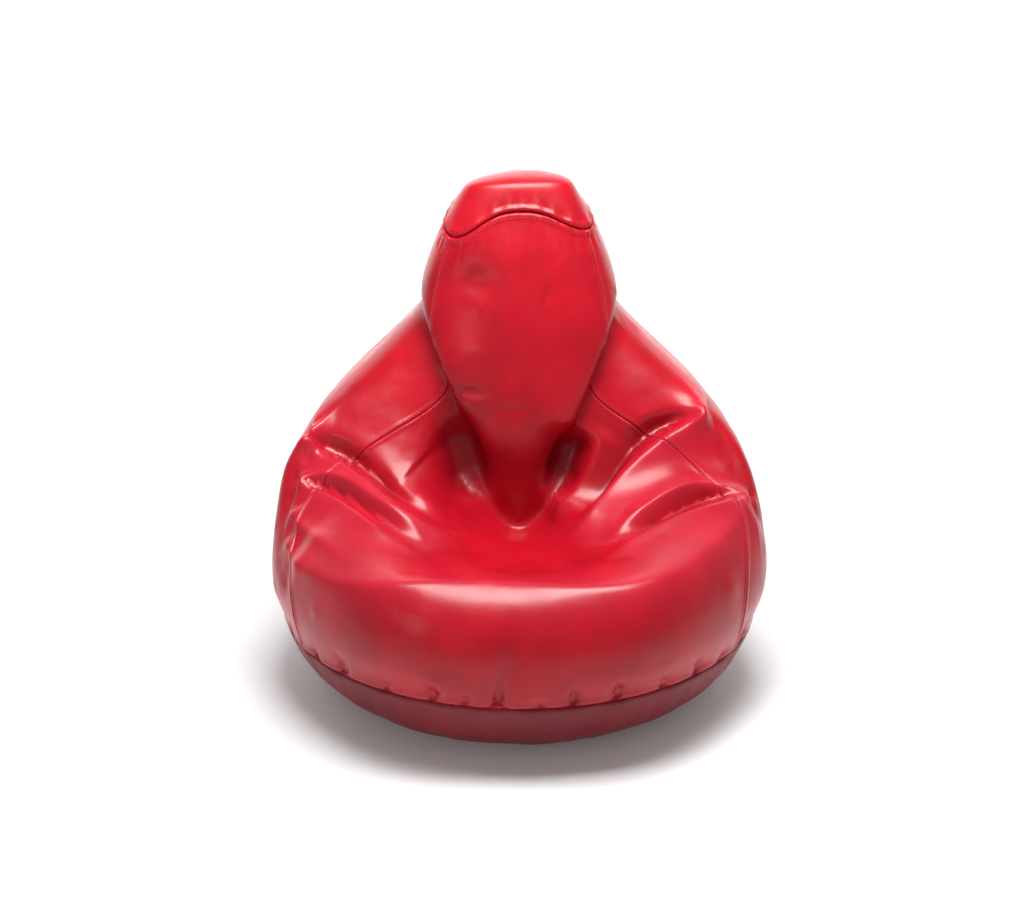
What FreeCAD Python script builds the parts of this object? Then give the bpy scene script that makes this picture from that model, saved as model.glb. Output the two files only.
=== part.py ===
import FreeCAD, Part
import Sketcher
import math
import os
from dataclasses import dataclass

# A teardrop bean bag chair with a headrest: a sewn leatherette cover round a
# liner full of polystyrene beads.  The chair faces -Y and stands on z = 0, with
# the origin at the centre of its footprint.  Angles run round the chair: 0 is
# the front, 90 its right-hand side (+X) and 180 the back.

Vector = FreeCAD.Vector

# ---------------------------------------------------------------- driving sizes
SIZES = [
    # name, value, meaning (lengths in mm, angles in degrees)
    ("overall_width", 900, "across the belly of the cover"),
    ("overall_depth", 888, "front of the belly to its back"),
    ("overall_height", 910, "floor to the crown of the headrest"),
    ("cap_crown", 26, "rise of the head cap over the middle of its seam"),
    ("cap_slope", 5, "fall of the cap seam from front to back"),
    ("base_seam_radius", 440, "circle where the base panel is sewn on"),
    ("base_seam_height", 135, "height of that circle over the floor"),
    ("base_bend_radius", 172, "roll of the base panel from floor to seam"),
    ("front_seam_angle", 60, "seam between front panel and side panel"),
    ("back_seam_angle", 120, "seam between side panel and back panel"),
    ("cover_thickness", 1.2, "leatherette of the cover"),
    ("base_thickness", 1.6, "doubled base panel"),
    ("seam_gap", 1.6, "between two sewn panel edges"),
    ("liner_thickness", 0.8, "cloth of the liner"),
    ("liner_setback", 6, "liner behind the cover, away from the base"),
    ("corner_setback", 12, "liner behind the cover at the base seam"),
    ("liner_floor", 13.5, "top of the liner base over the floor"),
    ("fill_clearance", 0.6, "beads behind the liner"),
    ("zip_arc", 108, "cover zip, along the rear of the base seam"),
    ("zip_edge_clearance", 0.8, "slider to each of the two edges that a zip joins"),
    ("tape_width", 14, "zip tape from the zip's middle to its edge"),
    ("tape_thickness", 0.8, "zip tape"),
    ("tape_gap", 0.6, "between a tape and the cloth sewn to it"),
    ("coil_seat", 0.05, "between a tape and its coil"),
    ("coil_radius", 1.2, "one row of zip coil"),
    ("coil_gap", 2.2, "between the two rows of coil"),
    ("liner_zip_length", 500, "zip across the liner base"),
    ("stop_length", 4, "end stop, along the zip"),
    ("slider_length", 14, "slider, along the zip"),
    ("slider_width", 9, "slider, across the zip"),
    ("slider_plate", 1.2, "each of the slider's two plates"),
    ("slider_neck", 1.4, "web between the plates, across the zip"),
    ("slider_clearance", 0.4, "slider clear of coil, tape and pull"),
    ("bar_radius", 0.9, "bar that the pull tab hangs on"),
    ("ear_thickness", 0.9, "ears that hold the bar"),
    ("pull_length", 30, "pull tab from its bar to its tip"),
    ("pull_width", 5, "pull tab"),
    ("pull_thickness", 1.4, "pull tab"),
    ("pull_barrel_radius", 2.1, "barrel of the pull tab round the bar"),
    ("grip_hole_radius", 1.4, "hole near the tip of the pull tab"),
    ("strap_width", 38, "grab loop"),
    ("strap_thickness", 2, "grab loop"),
    ("strap_loop_radius", 6, "half the thickness of the closed loop"),
    ("strap_drop", 105, "grab loop, from its axis to the lower bend"),
    ("anchor_length", 16, "strap end sewn under the cap seam"),
    ("anchor_thickness", 1.5, "strap end sewn under the cap seam"),
    ("soft_clearance", 0.5, "between moving pieces and the cover"),
]

doc = FreeCAD.newDocument("BeanBagChair")
sheet = doc.addObject("Spreadsheet::Sheet", "Sizes")
for row, (name, value, meaning) in enumerate(SIZES, start=1):
    sheet.set(f"A{row}", name)
    sheet.set(f"B{row}", str(value))
    sheet.setAlias(f"B{row}", name)
    sheet.set(f"C{row}", meaning)
doc.recompute()

sub_parts = {}


def size(name):
    """A driving size, read from the sheet."""
    return float(sheet.get(name))


def bind(thing, **expressions):
    """Ties properties of a document object to cells of the sheet."""
    for prop, expression in expressions.items():
        thing.setExpression(prop, expression)
    return thing


def keep(thing, label, placement=None):
    """Names a finished sub-part, which is written under that name."""
    if placement is not None:
        thing.Placement = placement
    thing.Label = label
    sub_parts[label] = thing
    return thing


def shaped(label, shape):
    """A sub-part whose free-form shape is made by functions."""
    feature = doc.addObject("Part::Feature", label)
    feature.Shape = shape
    return keep(feature, label, FreeCAD.Placement())


# ------------------------------------------------------------------ derived sizes
# The zips: the gap that the slider runs in, and the straight wall that the cover
# zip's tape lies against.  The wall leans outwards by WALL_TURN.
ZIP_EDGE = "(Sizes.slider_width / 2 + Sizes.zip_edge_clearance)"
WALL_TURN = "acos(1 - Sizes.base_seam_height / Sizes.base_bend_radius)"
zip_edge = size("slider_width") / 2 + size("zip_edge_clearance")
straight_wall = zip_edge + size("tape_width") + size("zip_edge_clearance")


# ------------------------------------------------------------ shape of the cover
@dataclass
class Ring:
    """One level line of the cover, given at a few places round the chair.

    x is a share of the half width, y of the half depth, and z of the height
    from the base seam to the crown.  bow says how far the line has turned back
    halfway from the front to the seam: the less, the broader the front.  The
    left half mirrors the right one.
    """

    name: str
    front: tuple
    bow: float
    seam: tuple
    side: tuple
    back: tuple


RINGS = [
    #    name          front (y, z)   bow    at the seam (x, y, z)   side (x, y, z)        back (y, z)
    Ring("belly", (-0.997, 0.072), 0.21, (0.870, -0.515, 0.085), (1.000, 0.000, 0.085), (0.998, 0.093)),
    Ring("arm foot", (-0.957, 0.160), 0.18, (0.884, -0.425, 0.181), (0.993, 0.011, 0.201), (0.989, 0.234)),
    Ring("roll", (-0.811, 0.223), 0.16, (0.856, -0.255, 0.265), (0.949, 0.056, 0.329), (0.957, 0.375)),
    Ring("seat", (-0.541, 0.213), 0.19, (0.738, -0.090, 0.335), (0.858, 0.124, 0.426), (0.912, 0.503)),
    Ring("slope", (-0.225, 0.201), 0.26, (0.522, 0.022, 0.419), (0.636, 0.247, 0.542), (0.861, 0.619)),
    Ring("crease", (0.000, 0.192), 0.24, (0.293, 0.112, 0.516), (0.420, 0.348, 0.664), (0.809, 0.709)),
    Ring("tongue", (-0.034, 0.335), 0.26, (0.338, 0.124, 0.606), (0.405, 0.371, 0.724), (0.775, 0.773)),
    Ring("chin", (-0.011, 0.517), 0.26, (0.349, 0.146, 0.694), (0.380, 0.387, 0.791), (0.742, 0.835)),
    Ring("face", (0.067, 0.714), 0.25, (0.309, 0.191, 0.801), (0.332, 0.400, 0.860), (0.710, 0.890)),
    Ring("brow", (0.169, 0.876), 0.21, (0.253, 0.247, 0.905), (0.272, 0.416, 0.927), (0.670, 0.933)),
    Ring("cap seam", (0.247, 0.972), 0.21, (0.204, 0.303, 0.968), (0.222, 0.427, 0.959), (0.636, 0.946)),
]

SIDE_ANGLE = 100
REAR_ANGLE = 140
FULL_TURN = 360
# Shares of the way, in x, y and z: from the side to the back, and in x and z from the front to the seam.
REAR_SHARE = (0.74, 0.74, 0.62)
HALFWAY_SHARE = (0.58, 0.33)
LIFT = Vector(0, 0, 1)

half_width = size("overall_width") / 2
half_depth = size("overall_depth") / 2
base_radius = size("base_seam_radius")
base_height = size("base_seam_height")
rise = size("overall_height") - base_height
bend_radius = size("base_bend_radius")
# The base panel turns by this angle from the floor up to its seam.
wall_turn = math.acos(1 - base_height / bend_radius)
contact_radius = base_radius - bend_radius * math.sin(wall_turn)


def outward(angle):
    """Unit vector away from the chair's upright axis."""
    turn = math.radians(angle)
    return Vector(math.sin(turn), -math.cos(turn), 0)


def wall_point(along, angle):
    """A point of the conical wall, this far above the base seam."""
    radius = base_radius + along * math.cos(wall_turn)
    return outward(angle) * radius + LIFT * (base_height + along * math.sin(wall_turn))


def ring_points(ring):
    """The ring's ten points in mm, from the front round by +X."""
    def place(x, y, z):
        return Vector(x * half_width, y * half_depth, base_height + z * rise)

    front = place(0, *ring.front)
    seam = place(*ring.seam)
    side = place(*ring.side)
    back = place(0, *ring.back)
    halfway = Vector(
        seam.x * HALFWAY_SHARE[0],
        front.y + (seam.y - front.y) * ring.bow,
        front.z + (seam.z - front.z) * HALFWAY_SHARE[1],
    )
    rear = Vector(
        side.x * REAR_SHARE[0],
        side.y + (back.y - side.y) * REAR_SHARE[1],
        side.z + (back.z - side.z) * REAR_SHARE[2],
    )
    right = [halfway, seam, side, rear]
    left = [Vector(-point.x, point.y, point.z) for point in reversed(right)]
    return [front] + right + [back] + left


def ring_angles():
    """Where round the chair the ten points of a ring lie."""
    seam_angle = size("front_seam_angle")
    right = [seam_angle / 2, seam_angle, SIDE_ANGLE, REAR_ANGLE]
    left = [FULL_TURN - angle for angle in reversed(right)]
    return [0] + right + [180] + left


def ring_curve(points):
    """A smooth closed curve, whose parameter is the angle round the chair.

    It runs through the points three times, so that its middle turn closes smoothly.
    """
    angles = ring_angles()
    turns = [angle + turn for turn in (-FULL_TURN, 0, FULL_TURN) for angle in angles]
    curve = Part.BSplineCurve()
    curve.interpolate(Points=points * 3, Parameters=turns)
    return curve


def cap_tilt(point):
    """How far the sloping cap seam lies over its own middle at a point of the plan."""
    top = RINGS[-1]
    middle = (top.front[0] + top.back[0]) / 2 * half_depth
    return (middle - point.y) * math.tan(math.radians(size("cap_slope")))


def cap_plane(point):
    """Height of the flat, sloping cap seam over a point of the plan."""
    return size("overall_height") - size("cap_crown") + cap_tilt(point)


WALL_ROWS = 3


class Skin:
    """The outer surface of the cover, from the base seam to the cap seam."""

    def __init__(self):
        heights = [straight_wall * row / WALL_ROWS for row in range(WALL_ROWS + 1)]
        wall = [[wall_point(along, angle) for angle in ring_angles()] for along in heights]
        rings = wall + [ring_points(ring) for ring in RINGS]
        rings[-1] = [Vector(p.x, p.y, cap_plane(p)) for p in rings[-1]]
        self.curves = [ring_curve(points) for points in rings]
        self.stations = [0.0]
        for lower, upper in zip(rings, rings[1:]):
            steps = [math.sqrt((b - a).Length) for a, b in zip(lower, upper)]
            self.stations.append(self.stations[-1] + sum(steps) / len(steps))
        self.top = self.stations[-1]
        self.meridians = {}

    def meridian(self, angle):
        """The line up the cover at one angle."""
        key = round(angle % FULL_TURN, 6)
        if key not in self.meridians:
            curve = Part.BSplineCurve()
            curve.interpolate(Points=[ring.value(key) for ring in self.curves], Parameters=self.stations)
            self.meridians[key] = curve
        return self.meridians[key]

    def point(self, station, angle):
        """A point of the surface."""
        return self.meridian(angle).value(station)

    def across(self, station, angle):
        """How the surface moves on, in mm, for each degree round the chair."""
        step = 0.25
        return (self.point(station, angle + step) - self.point(station, angle - step)) / (2 * step)

    def normal(self, station, angle):
        """The outward normal of the surface."""
        step = 0.01
        low = max(station - step, 0)
        high = min(station + step, self.top)
        upward = self.point(high, angle) - self.point(low, angle)
        return self.across(station, angle).cross(upward).normalize()

    def inset(self, station, angle, depth):
        """A point this far behind the surface."""
        return self.point(station, angle) - self.normal(station, angle) * depth

    def station_above_seam(self, along):
        """The station this far up the conical wall."""
        return self.stations[WALL_ROWS] * along / straight_wall


skin = Skin()


# ------------------------------------------------------------------ cover panels
def solid_from(faces):
    """The solid that these faces close."""
    shell = Part.makeShell(faces)
    shell.sewShape()
    solid = Part.makeSolid(shell)
    if solid.Volume < 0:
        solid.reverse()
    return solid


def sheet_solid(front_grid, back_grid):
    """A solid between two grids of points, closed by ruled edges."""
    surfaces = []
    for grid in (front_grid, back_grid):
        surface = Part.BSplineSurface()
        surface.interpolate(grid)
        surfaces.append(surface)
    front, back = surfaces
    faces = [front.toShape(), back.toShape()]
    front_bounds = front.bounds()
    back_bounds = back.bounds()
    for side in range(4):
        iso = "uIso" if side < 2 else "vIso"
        edges = [getattr(surface, iso)(bounds[side]).toShape()
                 for surface, bounds in ((front, front_bounds), (back, back_bounds))]
        faces.append(Part.makeRuledSurface(*edges))
    return solid_from(faces)


PANEL_ROWS = 45
DEGREES_PER_COLUMN = 7.5


def panel(start, end, lower_edge):
    """One panel of the cover between two seams.

    lower_edge is how far above the base seam the panel begins.
    """
    columns = round((end - start) / DEGREES_PER_COLUMN)
    half_gap = size("seam_gap") / 2
    first = skin.station_above_seam(lower_edge)
    last = skin.top - (skin.top - skin.stations[-2]) * half_gap / size("cap_crown")
    outer = []
    inner = []
    for row in range(PANEL_ROWS + 1):
        station = first + (last - first) * row / PANEL_ROWS
        low = start + half_gap / skin.across(station, start).Length
        high = end - half_gap / skin.across(station, end).Length
        angles = [low + (high - low) * column / columns for column in range(columns + 1)]
        outer.append([skin.point(station, angle) for angle in angles])
        inner.append([skin.inset(station, angle, size("cover_thickness")) for angle in angles])
    return sheet_solid(outer, inner)


front_seam = size("front_seam_angle")
back_seam = size("back_seam_angle")
shaped("front_panel", panel(-front_seam, front_seam, size("seam_gap")))
shaped("right_panel", panel(front_seam, back_seam, size("seam_gap")))
shaped("left_panel", panel(-back_seam, -front_seam, size("seam_gap")))
shaped("back_panel", panel(back_seam, FULL_TURN - back_seam, 2 * zip_edge))

# The dome of the cap: share of the seam's outline, and share of the crown.
DOME = [(0.96, 0.36), (0.84, 0.68), (0.60, 0.90), (0.30, 1.0)]
ROW_ANGLES = [180 + 15 * step for step in range(24)]


def rounded_faces(rows):
    """The face through closed rows of points, its lower rim, and a flat face over its top."""
    surface = Part.BSplineSurface()
    surface.interpolate([points + points[:1] for points in rows])
    bounds = surface.bounds()
    rim, top = [surface.uIso(bounds[end]).toShape() for end in (0, 1)]
    return surface.toShape(), rim, Part.Face(Part.Wire([top]))


def rounded_solid(rows):
    """A solid inside closed rows of points, the first and last of them flat."""
    side, rim, top = rounded_faces(rows)
    return solid_from([side, top, Part.Face(Part.Wire([rim]))])


def hollow_solid(outer_rows, inner_rows):
    """A thin shell between two sets of rows, open at the first row."""
    outer, outer_rim, outer_top = rounded_faces(outer_rows)
    inner, inner_rim, inner_top = rounded_faces(inner_rows)
    return solid_from([outer, outer_top, inner, inner_top, Part.makeRuledSurface(outer_rim, inner_rim)])


def dome_rows(depth):
    """Rows over the headrest, this far below its crown and inside its seam."""
    seam_line = [skin.inset(skin.top, angle, depth) for angle in ROW_ANGLES]
    middle = sum(seam_line, Vector()) / len(seam_line)
    rows = []
    for spread, lift in DOME:
        row = []
        for point in seam_line:
            spot = middle + (point - middle) * spread
            height = cap_plane(spot) + (size("cap_crown") - cap_tilt(spot)) * lift - depth
            row.append(Vector(spot.x, spot.y, height))
        rows.append(row)
    return rows


def cap_rows(depth):
    """Rows of the head cap, from its seam up over the crown."""
    rim = []
    for angle in ROW_ANGLES:
        point = skin.inset(skin.top, angle, depth)
        rim.append(Vector(point.x, point.y, cap_plane(point)))
    return [rim] + dome_rows(depth)


shaped("head_cap", hollow_solid(cap_rows(0), cap_rows(size("cover_thickness"))))


# -------------------------------------------------------------------- base panel
def add_constraint(sketch, name, constraint, expression=None):
    """Adds a named constraint, bound to the sheet when it has an expression."""
    index = sketch.addConstraint(constraint)
    if expression is not None:
        sketch.renameConstraint(index, name)
        sketch.setExpression(f"Constraints.{name}", expression)


def join_ends(sketch, count):
    """Joins the end of each of a sketch's edges to the start of the next."""
    for edge in range(count):
        sketch.addConstraint(Sketcher.Constraint("Coincident", edge, 2, (edge + 1) % count, 1))


def origin_plane(body, role):
    """One of the body's own origin planes."""
    return next(plane for plane in body.Origin.OriginFeatures if plane.Role == role)


def new_sketch(body, name, role):
    """A sketch on an origin plane of its body."""
    sketch = body.newObject("Sketcher::SketchObject", name)
    sketch.AttachmentSupport = [(origin_plane(body, role), "")]
    sketch.MapMode = "FlatFace"
    return sketch


FLOOR_SIDE = "(Sizes.base_seam_radius - Sizes.base_bend_radius * sin(acos(1 - Sizes.base_seam_height" \
             " / Sizes.base_bend_radius)))"
SEAM_TURN = "acos(1 - Sizes.base_seam_height / Sizes.base_bend_radius)"


def base_panel():
    """The dished base: flat on the floor, rolled up to the base seam."""
    body = doc.addObject("PartDesign::Body", "base_panel")
    sketch = new_sketch(body, "base_profile", "XZ_Plane")
    thickness = size("base_thickness")
    centre = Vector(contact_radius, bend_radius, 0)
    start = -math.pi / 2
    end = start + wall_turn

    def on_arc(radius, angle):
        return centre + Vector(radius * math.cos(angle), radius * math.sin(angle), 0)

    inner_radius = bend_radius - thickness
    up = Vector(0, 0, 1)
    sketch.addGeometry(Part.LineSegment(Vector(), Vector(contact_radius, 0, 0)))
    sketch.addGeometry(Part.ArcOfCircle(Part.Circle(centre, up, bend_radius), start, end))
    sketch.addGeometry(Part.LineSegment(on_arc(bend_radius, end), on_arc(inner_radius, end)))
    sketch.addGeometry(Part.ArcOfCircle(Part.Circle(centre, up, inner_radius), start, end))
    sketch.addGeometry(Part.LineSegment(on_arc(inner_radius, start), Vector(0, thickness, 0)))
    sketch.addGeometry(Part.LineSegment(Vector(0, thickness, 0), Vector()))
    sketch.addConstraint(Sketcher.Constraint("Coincident", 0, 1, -1, 1))
    sketch.addConstraint(Sketcher.Constraint("Coincident", 0, 2, 1, 1))
    sketch.addConstraint(Sketcher.Constraint("Coincident", 1, 2, 2, 1))
    sketch.addConstraint(Sketcher.Constraint("Coincident", 2, 2, 3, 2))
    sketch.addConstraint(Sketcher.Constraint("Coincident", 3, 1, 4, 1))
    sketch.addConstraint(Sketcher.Constraint("Coincident", 4, 2, 5, 1))
    sketch.addConstraint(Sketcher.Constraint("Coincident", 5, 2, 0, 1))
    sketch.addConstraint(Sketcher.Constraint("Coincident", 1, 3, 3, 3))
    sketch.addConstraint(Sketcher.Constraint("Horizontal", 0))
    sketch.addConstraint(Sketcher.Constraint("Vertical", 5))
    sketch.addConstraint(Sketcher.Constraint("Horizontal", 4))
    sketch.addConstraint(Sketcher.Constraint("Vertical", 1, 3, 1, 1))
    add_constraint(sketch, "contact", Sketcher.Constraint("DistanceX", 0, 1, 0, 2, contact_radius),
                   FLOOR_SIDE)
    add_constraint(sketch, "bend", Sketcher.Constraint("Radius", 1, bend_radius), "Sizes.base_bend_radius")
    add_constraint(sketch, "wall", Sketcher.Constraint("DistanceY", 0, 1, 4, 2, thickness),
                   "Sizes.base_thickness")
    add_constraint(sketch, "seam", Sketcher.Constraint("DistanceY", 0, 1, 1, 2, base_height),
                   "Sizes.base_seam_height")
    edge_rise = thickness * math.cos(wall_turn)
    add_constraint(sketch, "edge", Sketcher.Constraint("DistanceY", 2, 1, 2, 2, edge_rise),
                   f"Sizes.base_thickness * cos({SEAM_TURN})")
    doc.recompute()
    turn = body.newObject("PartDesign::Revolution", "base_turned")
    turn.Profile = sketch
    turn.ReferenceAxis = (sketch, ["V_Axis"])
    turn.Angle = FULL_TURN
    return body


keep(base_panel(), "base_panel")


# ------------------------------------------------------------- liner and its fill
def base_row(turn, depth):
    """A circle this far inside the rolled edge of the base panel."""
    radius = contact_radius + (bend_radius - depth) * math.sin(turn)
    height = bend_radius - (bend_radius - depth) * math.cos(turn)
    return [outward(angle) * radius + LIFT * height for angle in ROW_ANGLES]


INNER_BASE_ROWS = 9
INNER_SKIN_ROWS = 20


def inner_rows(extra, floor):
    """Rows of a body inside the cover: the liner's outline, less an extra depth.

    floor is the height of its flat bottom.
    """
    corner_depth = size("corner_setback") + extra
    flat_turn = math.acos((bend_radius - floor) / (bend_radius - corner_depth))
    rows = []
    for step in range(INNER_BASE_ROWS):
        share = step / INNER_BASE_ROWS
        rows.append(base_row(flat_turn + (wall_turn - flat_turn) * share, corner_depth))
    belly = skin.stations[3]
    side_depth = size("cover_thickness") + size("liner_setback") + extra
    for step in range(INNER_SKIN_ROWS):
        station = skin.top * step / INNER_SKIN_ROWS
        fade = max(0.0, 1 - station / belly)
        depth = side_depth + (corner_depth - side_depth) * fade
        rows.append([skin.inset(station, angle, depth) for angle in ROW_ANGLES])
    return rows + dome_rows(side_depth)


liner_floor = size("liner_floor")
liner_cloth = size("liner_thickness")
shaped("liner_shell", hollow_solid(inner_rows(0, liner_floor), inner_rows(liner_cloth, liner_floor)))


# ------------------------------------------------------------------- both zips
def zip_levels(cloth):
    """Heights of a zip's layers over the outer face of the cloth it is sewn to."""
    tape_top = -(cloth + size("tape_gap"))
    tape_bottom = tape_top - size("tape_thickness")
    coil_middle = tape_top + size("coil_seat") + size("coil_radius")
    coil_top = coil_middle + size("coil_radius")
    inner_top = tape_bottom - size("slider_clearance")
    outer_bottom = coil_top + size("slider_clearance")
    return tape_top, tape_bottom, coil_middle, inner_top, outer_bottom


fill_floor = liner_floor - liner_cloth - zip_levels(liner_cloth)[3] \
    + size("slider_plate") + size("fill_clearance")
shaped("bead_fill", rounded_solid(inner_rows(liner_cloth + size("fill_clearance"), fill_floor)))


def box(name, length, width, height, x, y, z):
    """A Part::Box bound to the sheet, its near corner at x, y, z."""
    block = doc.addObject("Part::Box", name)
    bind(block, Length=length, Width=width, Height=height)
    block.Placement.Base = Vector(x, y, z)
    return block


def slider(label, cloth, placement, with_ears):
    """A zip slider: two plates and the neck between them, with ears for a pull tab."""
    inner_top, outer_bottom = zip_levels(cloth)[3:]
    length = size("slider_length")
    width = size("slider_width")
    neck = size("slider_neck")
    plate = size("slider_plate")
    neck_height = f"{outer_bottom - inner_top} + Sizes.slider_plate"
    blocks = [
        box(label + "_outer_plate", "Sizes.slider_length", "Sizes.slider_width", "Sizes.slider_plate",
            -length / 2, -width / 2, outer_bottom),
        box(label + "_inner_plate", "Sizes.slider_length", "Sizes.slider_width", "Sizes.slider_plate",
            -length / 2, -width / 2, inner_top - plate),
        box(label + "_neck", "Sizes.slider_length / 3", "Sizes.slider_neck", neck_height,
            -length / 6, -neck / 2, inner_top - plate / 2),
    ]
    if with_ears:
        bar_height = pull_height(cloth)
        ear = size("ear_thickness")
        gap = size("pull_width") / 2 + size("slider_clearance")
        ear_height = f"{bar_height - outer_bottom} + Sizes.bar_radius"
        for name, y in (("_ear_low", -gap - ear), ("_ear_high", gap)):
            blocks.append(box(label + name, "4 * Sizes.bar_radius", "Sizes.ear_thickness", ear_height,
                              -2 * size("bar_radius"), y, outer_bottom))
        bar = doc.addObject("Part::Cylinder", label + "_bar")
        bind(bar, Radius="Sizes.bar_radius",
             Height="Sizes.pull_width + 2 * Sizes.slider_clearance + 2 * Sizes.ear_thickness")
        across = FreeCAD.Rotation(Vector(1, 0, 0), 90)
        bar.Placement = FreeCAD.Placement(Vector(0, gap + ear, bar_height), across)
        blocks.append(bar)
    fused = doc.addObject("Part::MultiFuse", label)
    fused.Shapes = blocks
    return keep(fused, label, placement)


def pull_height(cloth):
    """Height of the pull tab's bar over the cloth."""
    plate_top = zip_levels(cloth)[4] + size("slider_plate")
    return plate_top + size("pull_barrel_radius") + size("slider_clearance")


def pull_tab(label, placement):
    """The tab that pulls the slider: a barrel round the bar and a flat tongue."""
    width = size("pull_width")
    barrel = doc.addObject("Part::Cylinder", label + "_barrel")
    bind(barrel, Radius="Sizes.pull_barrel_radius", Height="Sizes.pull_width")
    across = FreeCAD.Rotation(Vector(1, 0, 0), 90)
    barrel.Placement = FreeCAD.Placement(Vector(0, width / 2, 0), across)
    tongue = box(label + "_tongue", "Sizes.pull_length", "Sizes.pull_width", "Sizes.pull_thickness",
                 0, -width / 2, -size("pull_thickness") / 2)
    solid = doc.addObject("Part::Fuse", label + "_solid")
    solid.Base = barrel
    solid.Tool = tongue
    eye = doc.addObject("Part::Cylinder", label + "_eye")
    bind(eye, Radius="Sizes.bar_radius + Sizes.slider_clearance / 2", Height="2 * Sizes.pull_width")
    eye.Placement = FreeCAD.Placement(Vector(0, width, 0), across)
    grip = doc.addObject("Part::Cylinder", label + "_grip")
    bind(grip, Radius="Sizes.grip_hole_radius", Height="2 * Sizes.pull_thickness")
    grip.Placement.Base = Vector(size("pull_length") - width / 2, 0, -size("pull_thickness"))
    holes = doc.addObject("Part::MultiFuse", label + "_holes")
    holes.Shapes = [eye, grip]
    cut = doc.addObject("Part::Cut", label)
    cut.Base = solid
    cut.Tool = holes
    return keep(cut, label, placement)


# Middle of the cover zip, and the frame of the wall there: along the zip, up the
# wall and out of the wall.
zip_start = 180 - size("zip_arc") / 2
wall_up = (math.cos(wall_turn), math.sin(wall_turn))


def wall_placement(angle, height):
    """Placement on the wall at the zip's middle: x along the zip, z out of the wall."""
    out = outward(angle)
    along = Vector(math.cos(math.radians(angle)), math.sin(math.radians(angle)), 0)
    upward = out * wall_up[0] + LIFT * wall_up[1]
    normal = along.cross(upward)
    spot = wall_point(zip_edge, angle) + normal * height
    matrix = FreeCAD.Matrix(along.x, upward.x, normal.x, spot.x,
                            along.y, upward.y, normal.y, spot.y,
                            along.z, upward.z, normal.z, spot.z,
                            0, 0, 0, 1)
    return FreeCAD.Placement(matrix)


def around_zip(angle=zip_start):
    """Turns a sector that begins on +X to the start of the cover zip."""
    return FreeCAD.Placement(Vector(), FreeCAD.Rotation(LIFT, angle - 90))


def wall_cone(name, low, high, depth, middle):
    """A solid sector of the cone this deep behind the zip's wall, cut square to its middle depth."""
    rises = [f"(({along}) * sin({WALL_TURN}) + ({middle}) * cos({WALL_TURN}))" for along in (low, high)]
    inwards = f"({depth}) / sin({WALL_TURN})"
    radii = [f"Sizes.base_seam_radius + {rise} / tan({WALL_TURN}) - {inwards}" for rise in rises]
    cone = doc.addObject("Part::Cone", name)
    bind(cone, Radius1=radii[0], Radius2=radii[1], Height=f"{rises[1]} - {rises[0]}", Angle="Sizes.zip_arc")
    cone.setExpression("Placement.Base.z", f"Sizes.base_seam_height + {rises[0]}")
    return cone


def curved_tape(label, low, high):
    """A band of zip tape on the inner face of the wall."""
    front = "max(Sizes.cover_thickness; Sizes.base_thickness) + Sizes.tape_gap"
    back = front + " + Sizes.tape_thickness"
    middle = front + " + Sizes.tape_thickness / 2"
    cut = doc.addObject("Part::Cut", label)
    cut.Base = wall_cone(label + "_outer", low, high, front, middle)
    cut.Tool = wall_cone(label + "_inner", low, high, back, middle)
    return keep(cut, label, around_zip())


def curved_coil(label, side):
    """One row of the cover zip's coil."""
    coil_middle = zip_levels(cover_cloth)[2]
    up = zip_edge + side * (size("coil_gap") / 2 + size("coil_radius"))
    coil = doc.addObject("Part::Torus", label)
    coil.Radius1 = base_radius + up * wall_up[0] + coil_middle * wall_up[1]
    bind(coil, Radius2="Sizes.coil_radius", Angle3="Sizes.zip_arc")
    height = base_height + up * wall_up[1] - coil_middle * wall_up[0]
    return keep(coil, label, FreeCAD.Placement(LIFT * height, around_zip().Rotation))


def end_stops(label, cloth, placements):
    """The two blocks that stop a slider at the ends of its zip."""
    coil_middle = zip_levels(cloth)[2]
    reach = size("coil_gap") + 4 * size("coil_radius")
    blocks = []
    for name, placement in placements:
        block = box(label + name, "Sizes.stop_length", "Sizes.coil_gap + 4 * Sizes.coil_radius",
                    "2 * Sizes.coil_radius", 0, 0, 0)
        corner = Vector(-size("stop_length") / 2, -reach / 2, coil_middle - size("coil_radius"))
        block.Placement = placement.multiply(FreeCAD.Placement(corner, FreeCAD.Rotation()))
        blocks.append(block)
    pair = doc.addObject("Part::Compound", label)
    pair.Links = blocks
    return keep(pair, label)


# The zip lies behind the thicker of the two panels that it joins.
cover_cloth = max(size("cover_thickness"), size("base_thickness"))
tape_edge = size("coil_gap") / 2
curved_tape("cover_zip_tape_upper", ZIP_EDGE + " + Sizes.coil_gap / 2", ZIP_EDGE + " + Sizes.tape_width")
curved_tape("cover_zip_tape_lower", ZIP_EDGE + " - Sizes.tape_width", ZIP_EDGE + " - Sizes.coil_gap / 2")
curved_coil("cover_zip_coil_upper", 1)
curved_coil("cover_zip_coil_lower", -1)
# The stops stand just past the ends of the coil, and the slider parks beside one.
stop_turn = math.degrees((size("stop_length") / 2 + size("soft_clearance")) / base_radius)
park_turn = math.degrees((size("slider_length") / 2 + size("soft_clearance")) / base_radius)
end_stops("cover_zip_end_stops", cover_cloth,
          [("_start", wall_placement(zip_start - stop_turn, 0)),
           ("_end", wall_placement(zip_start + size("zip_arc") + stop_turn, 0))])
slider("cover_zip_slider", cover_cloth, wall_placement(zip_start + park_turn, 0), True)
pull_tab("cover_zip_pull_tab", wall_placement(zip_start + park_turn, pull_height(cover_cloth)))


def liner_placement(x, height=0):
    """Placement under the liner base: x along the zip, z out of the liner, downwards."""
    spot = Vector(x, 0, liner_floor - liner_cloth - height)
    return FreeCAD.Placement(spot, FreeCAD.Rotation(Vector(1, 0, 0), 180))


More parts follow.
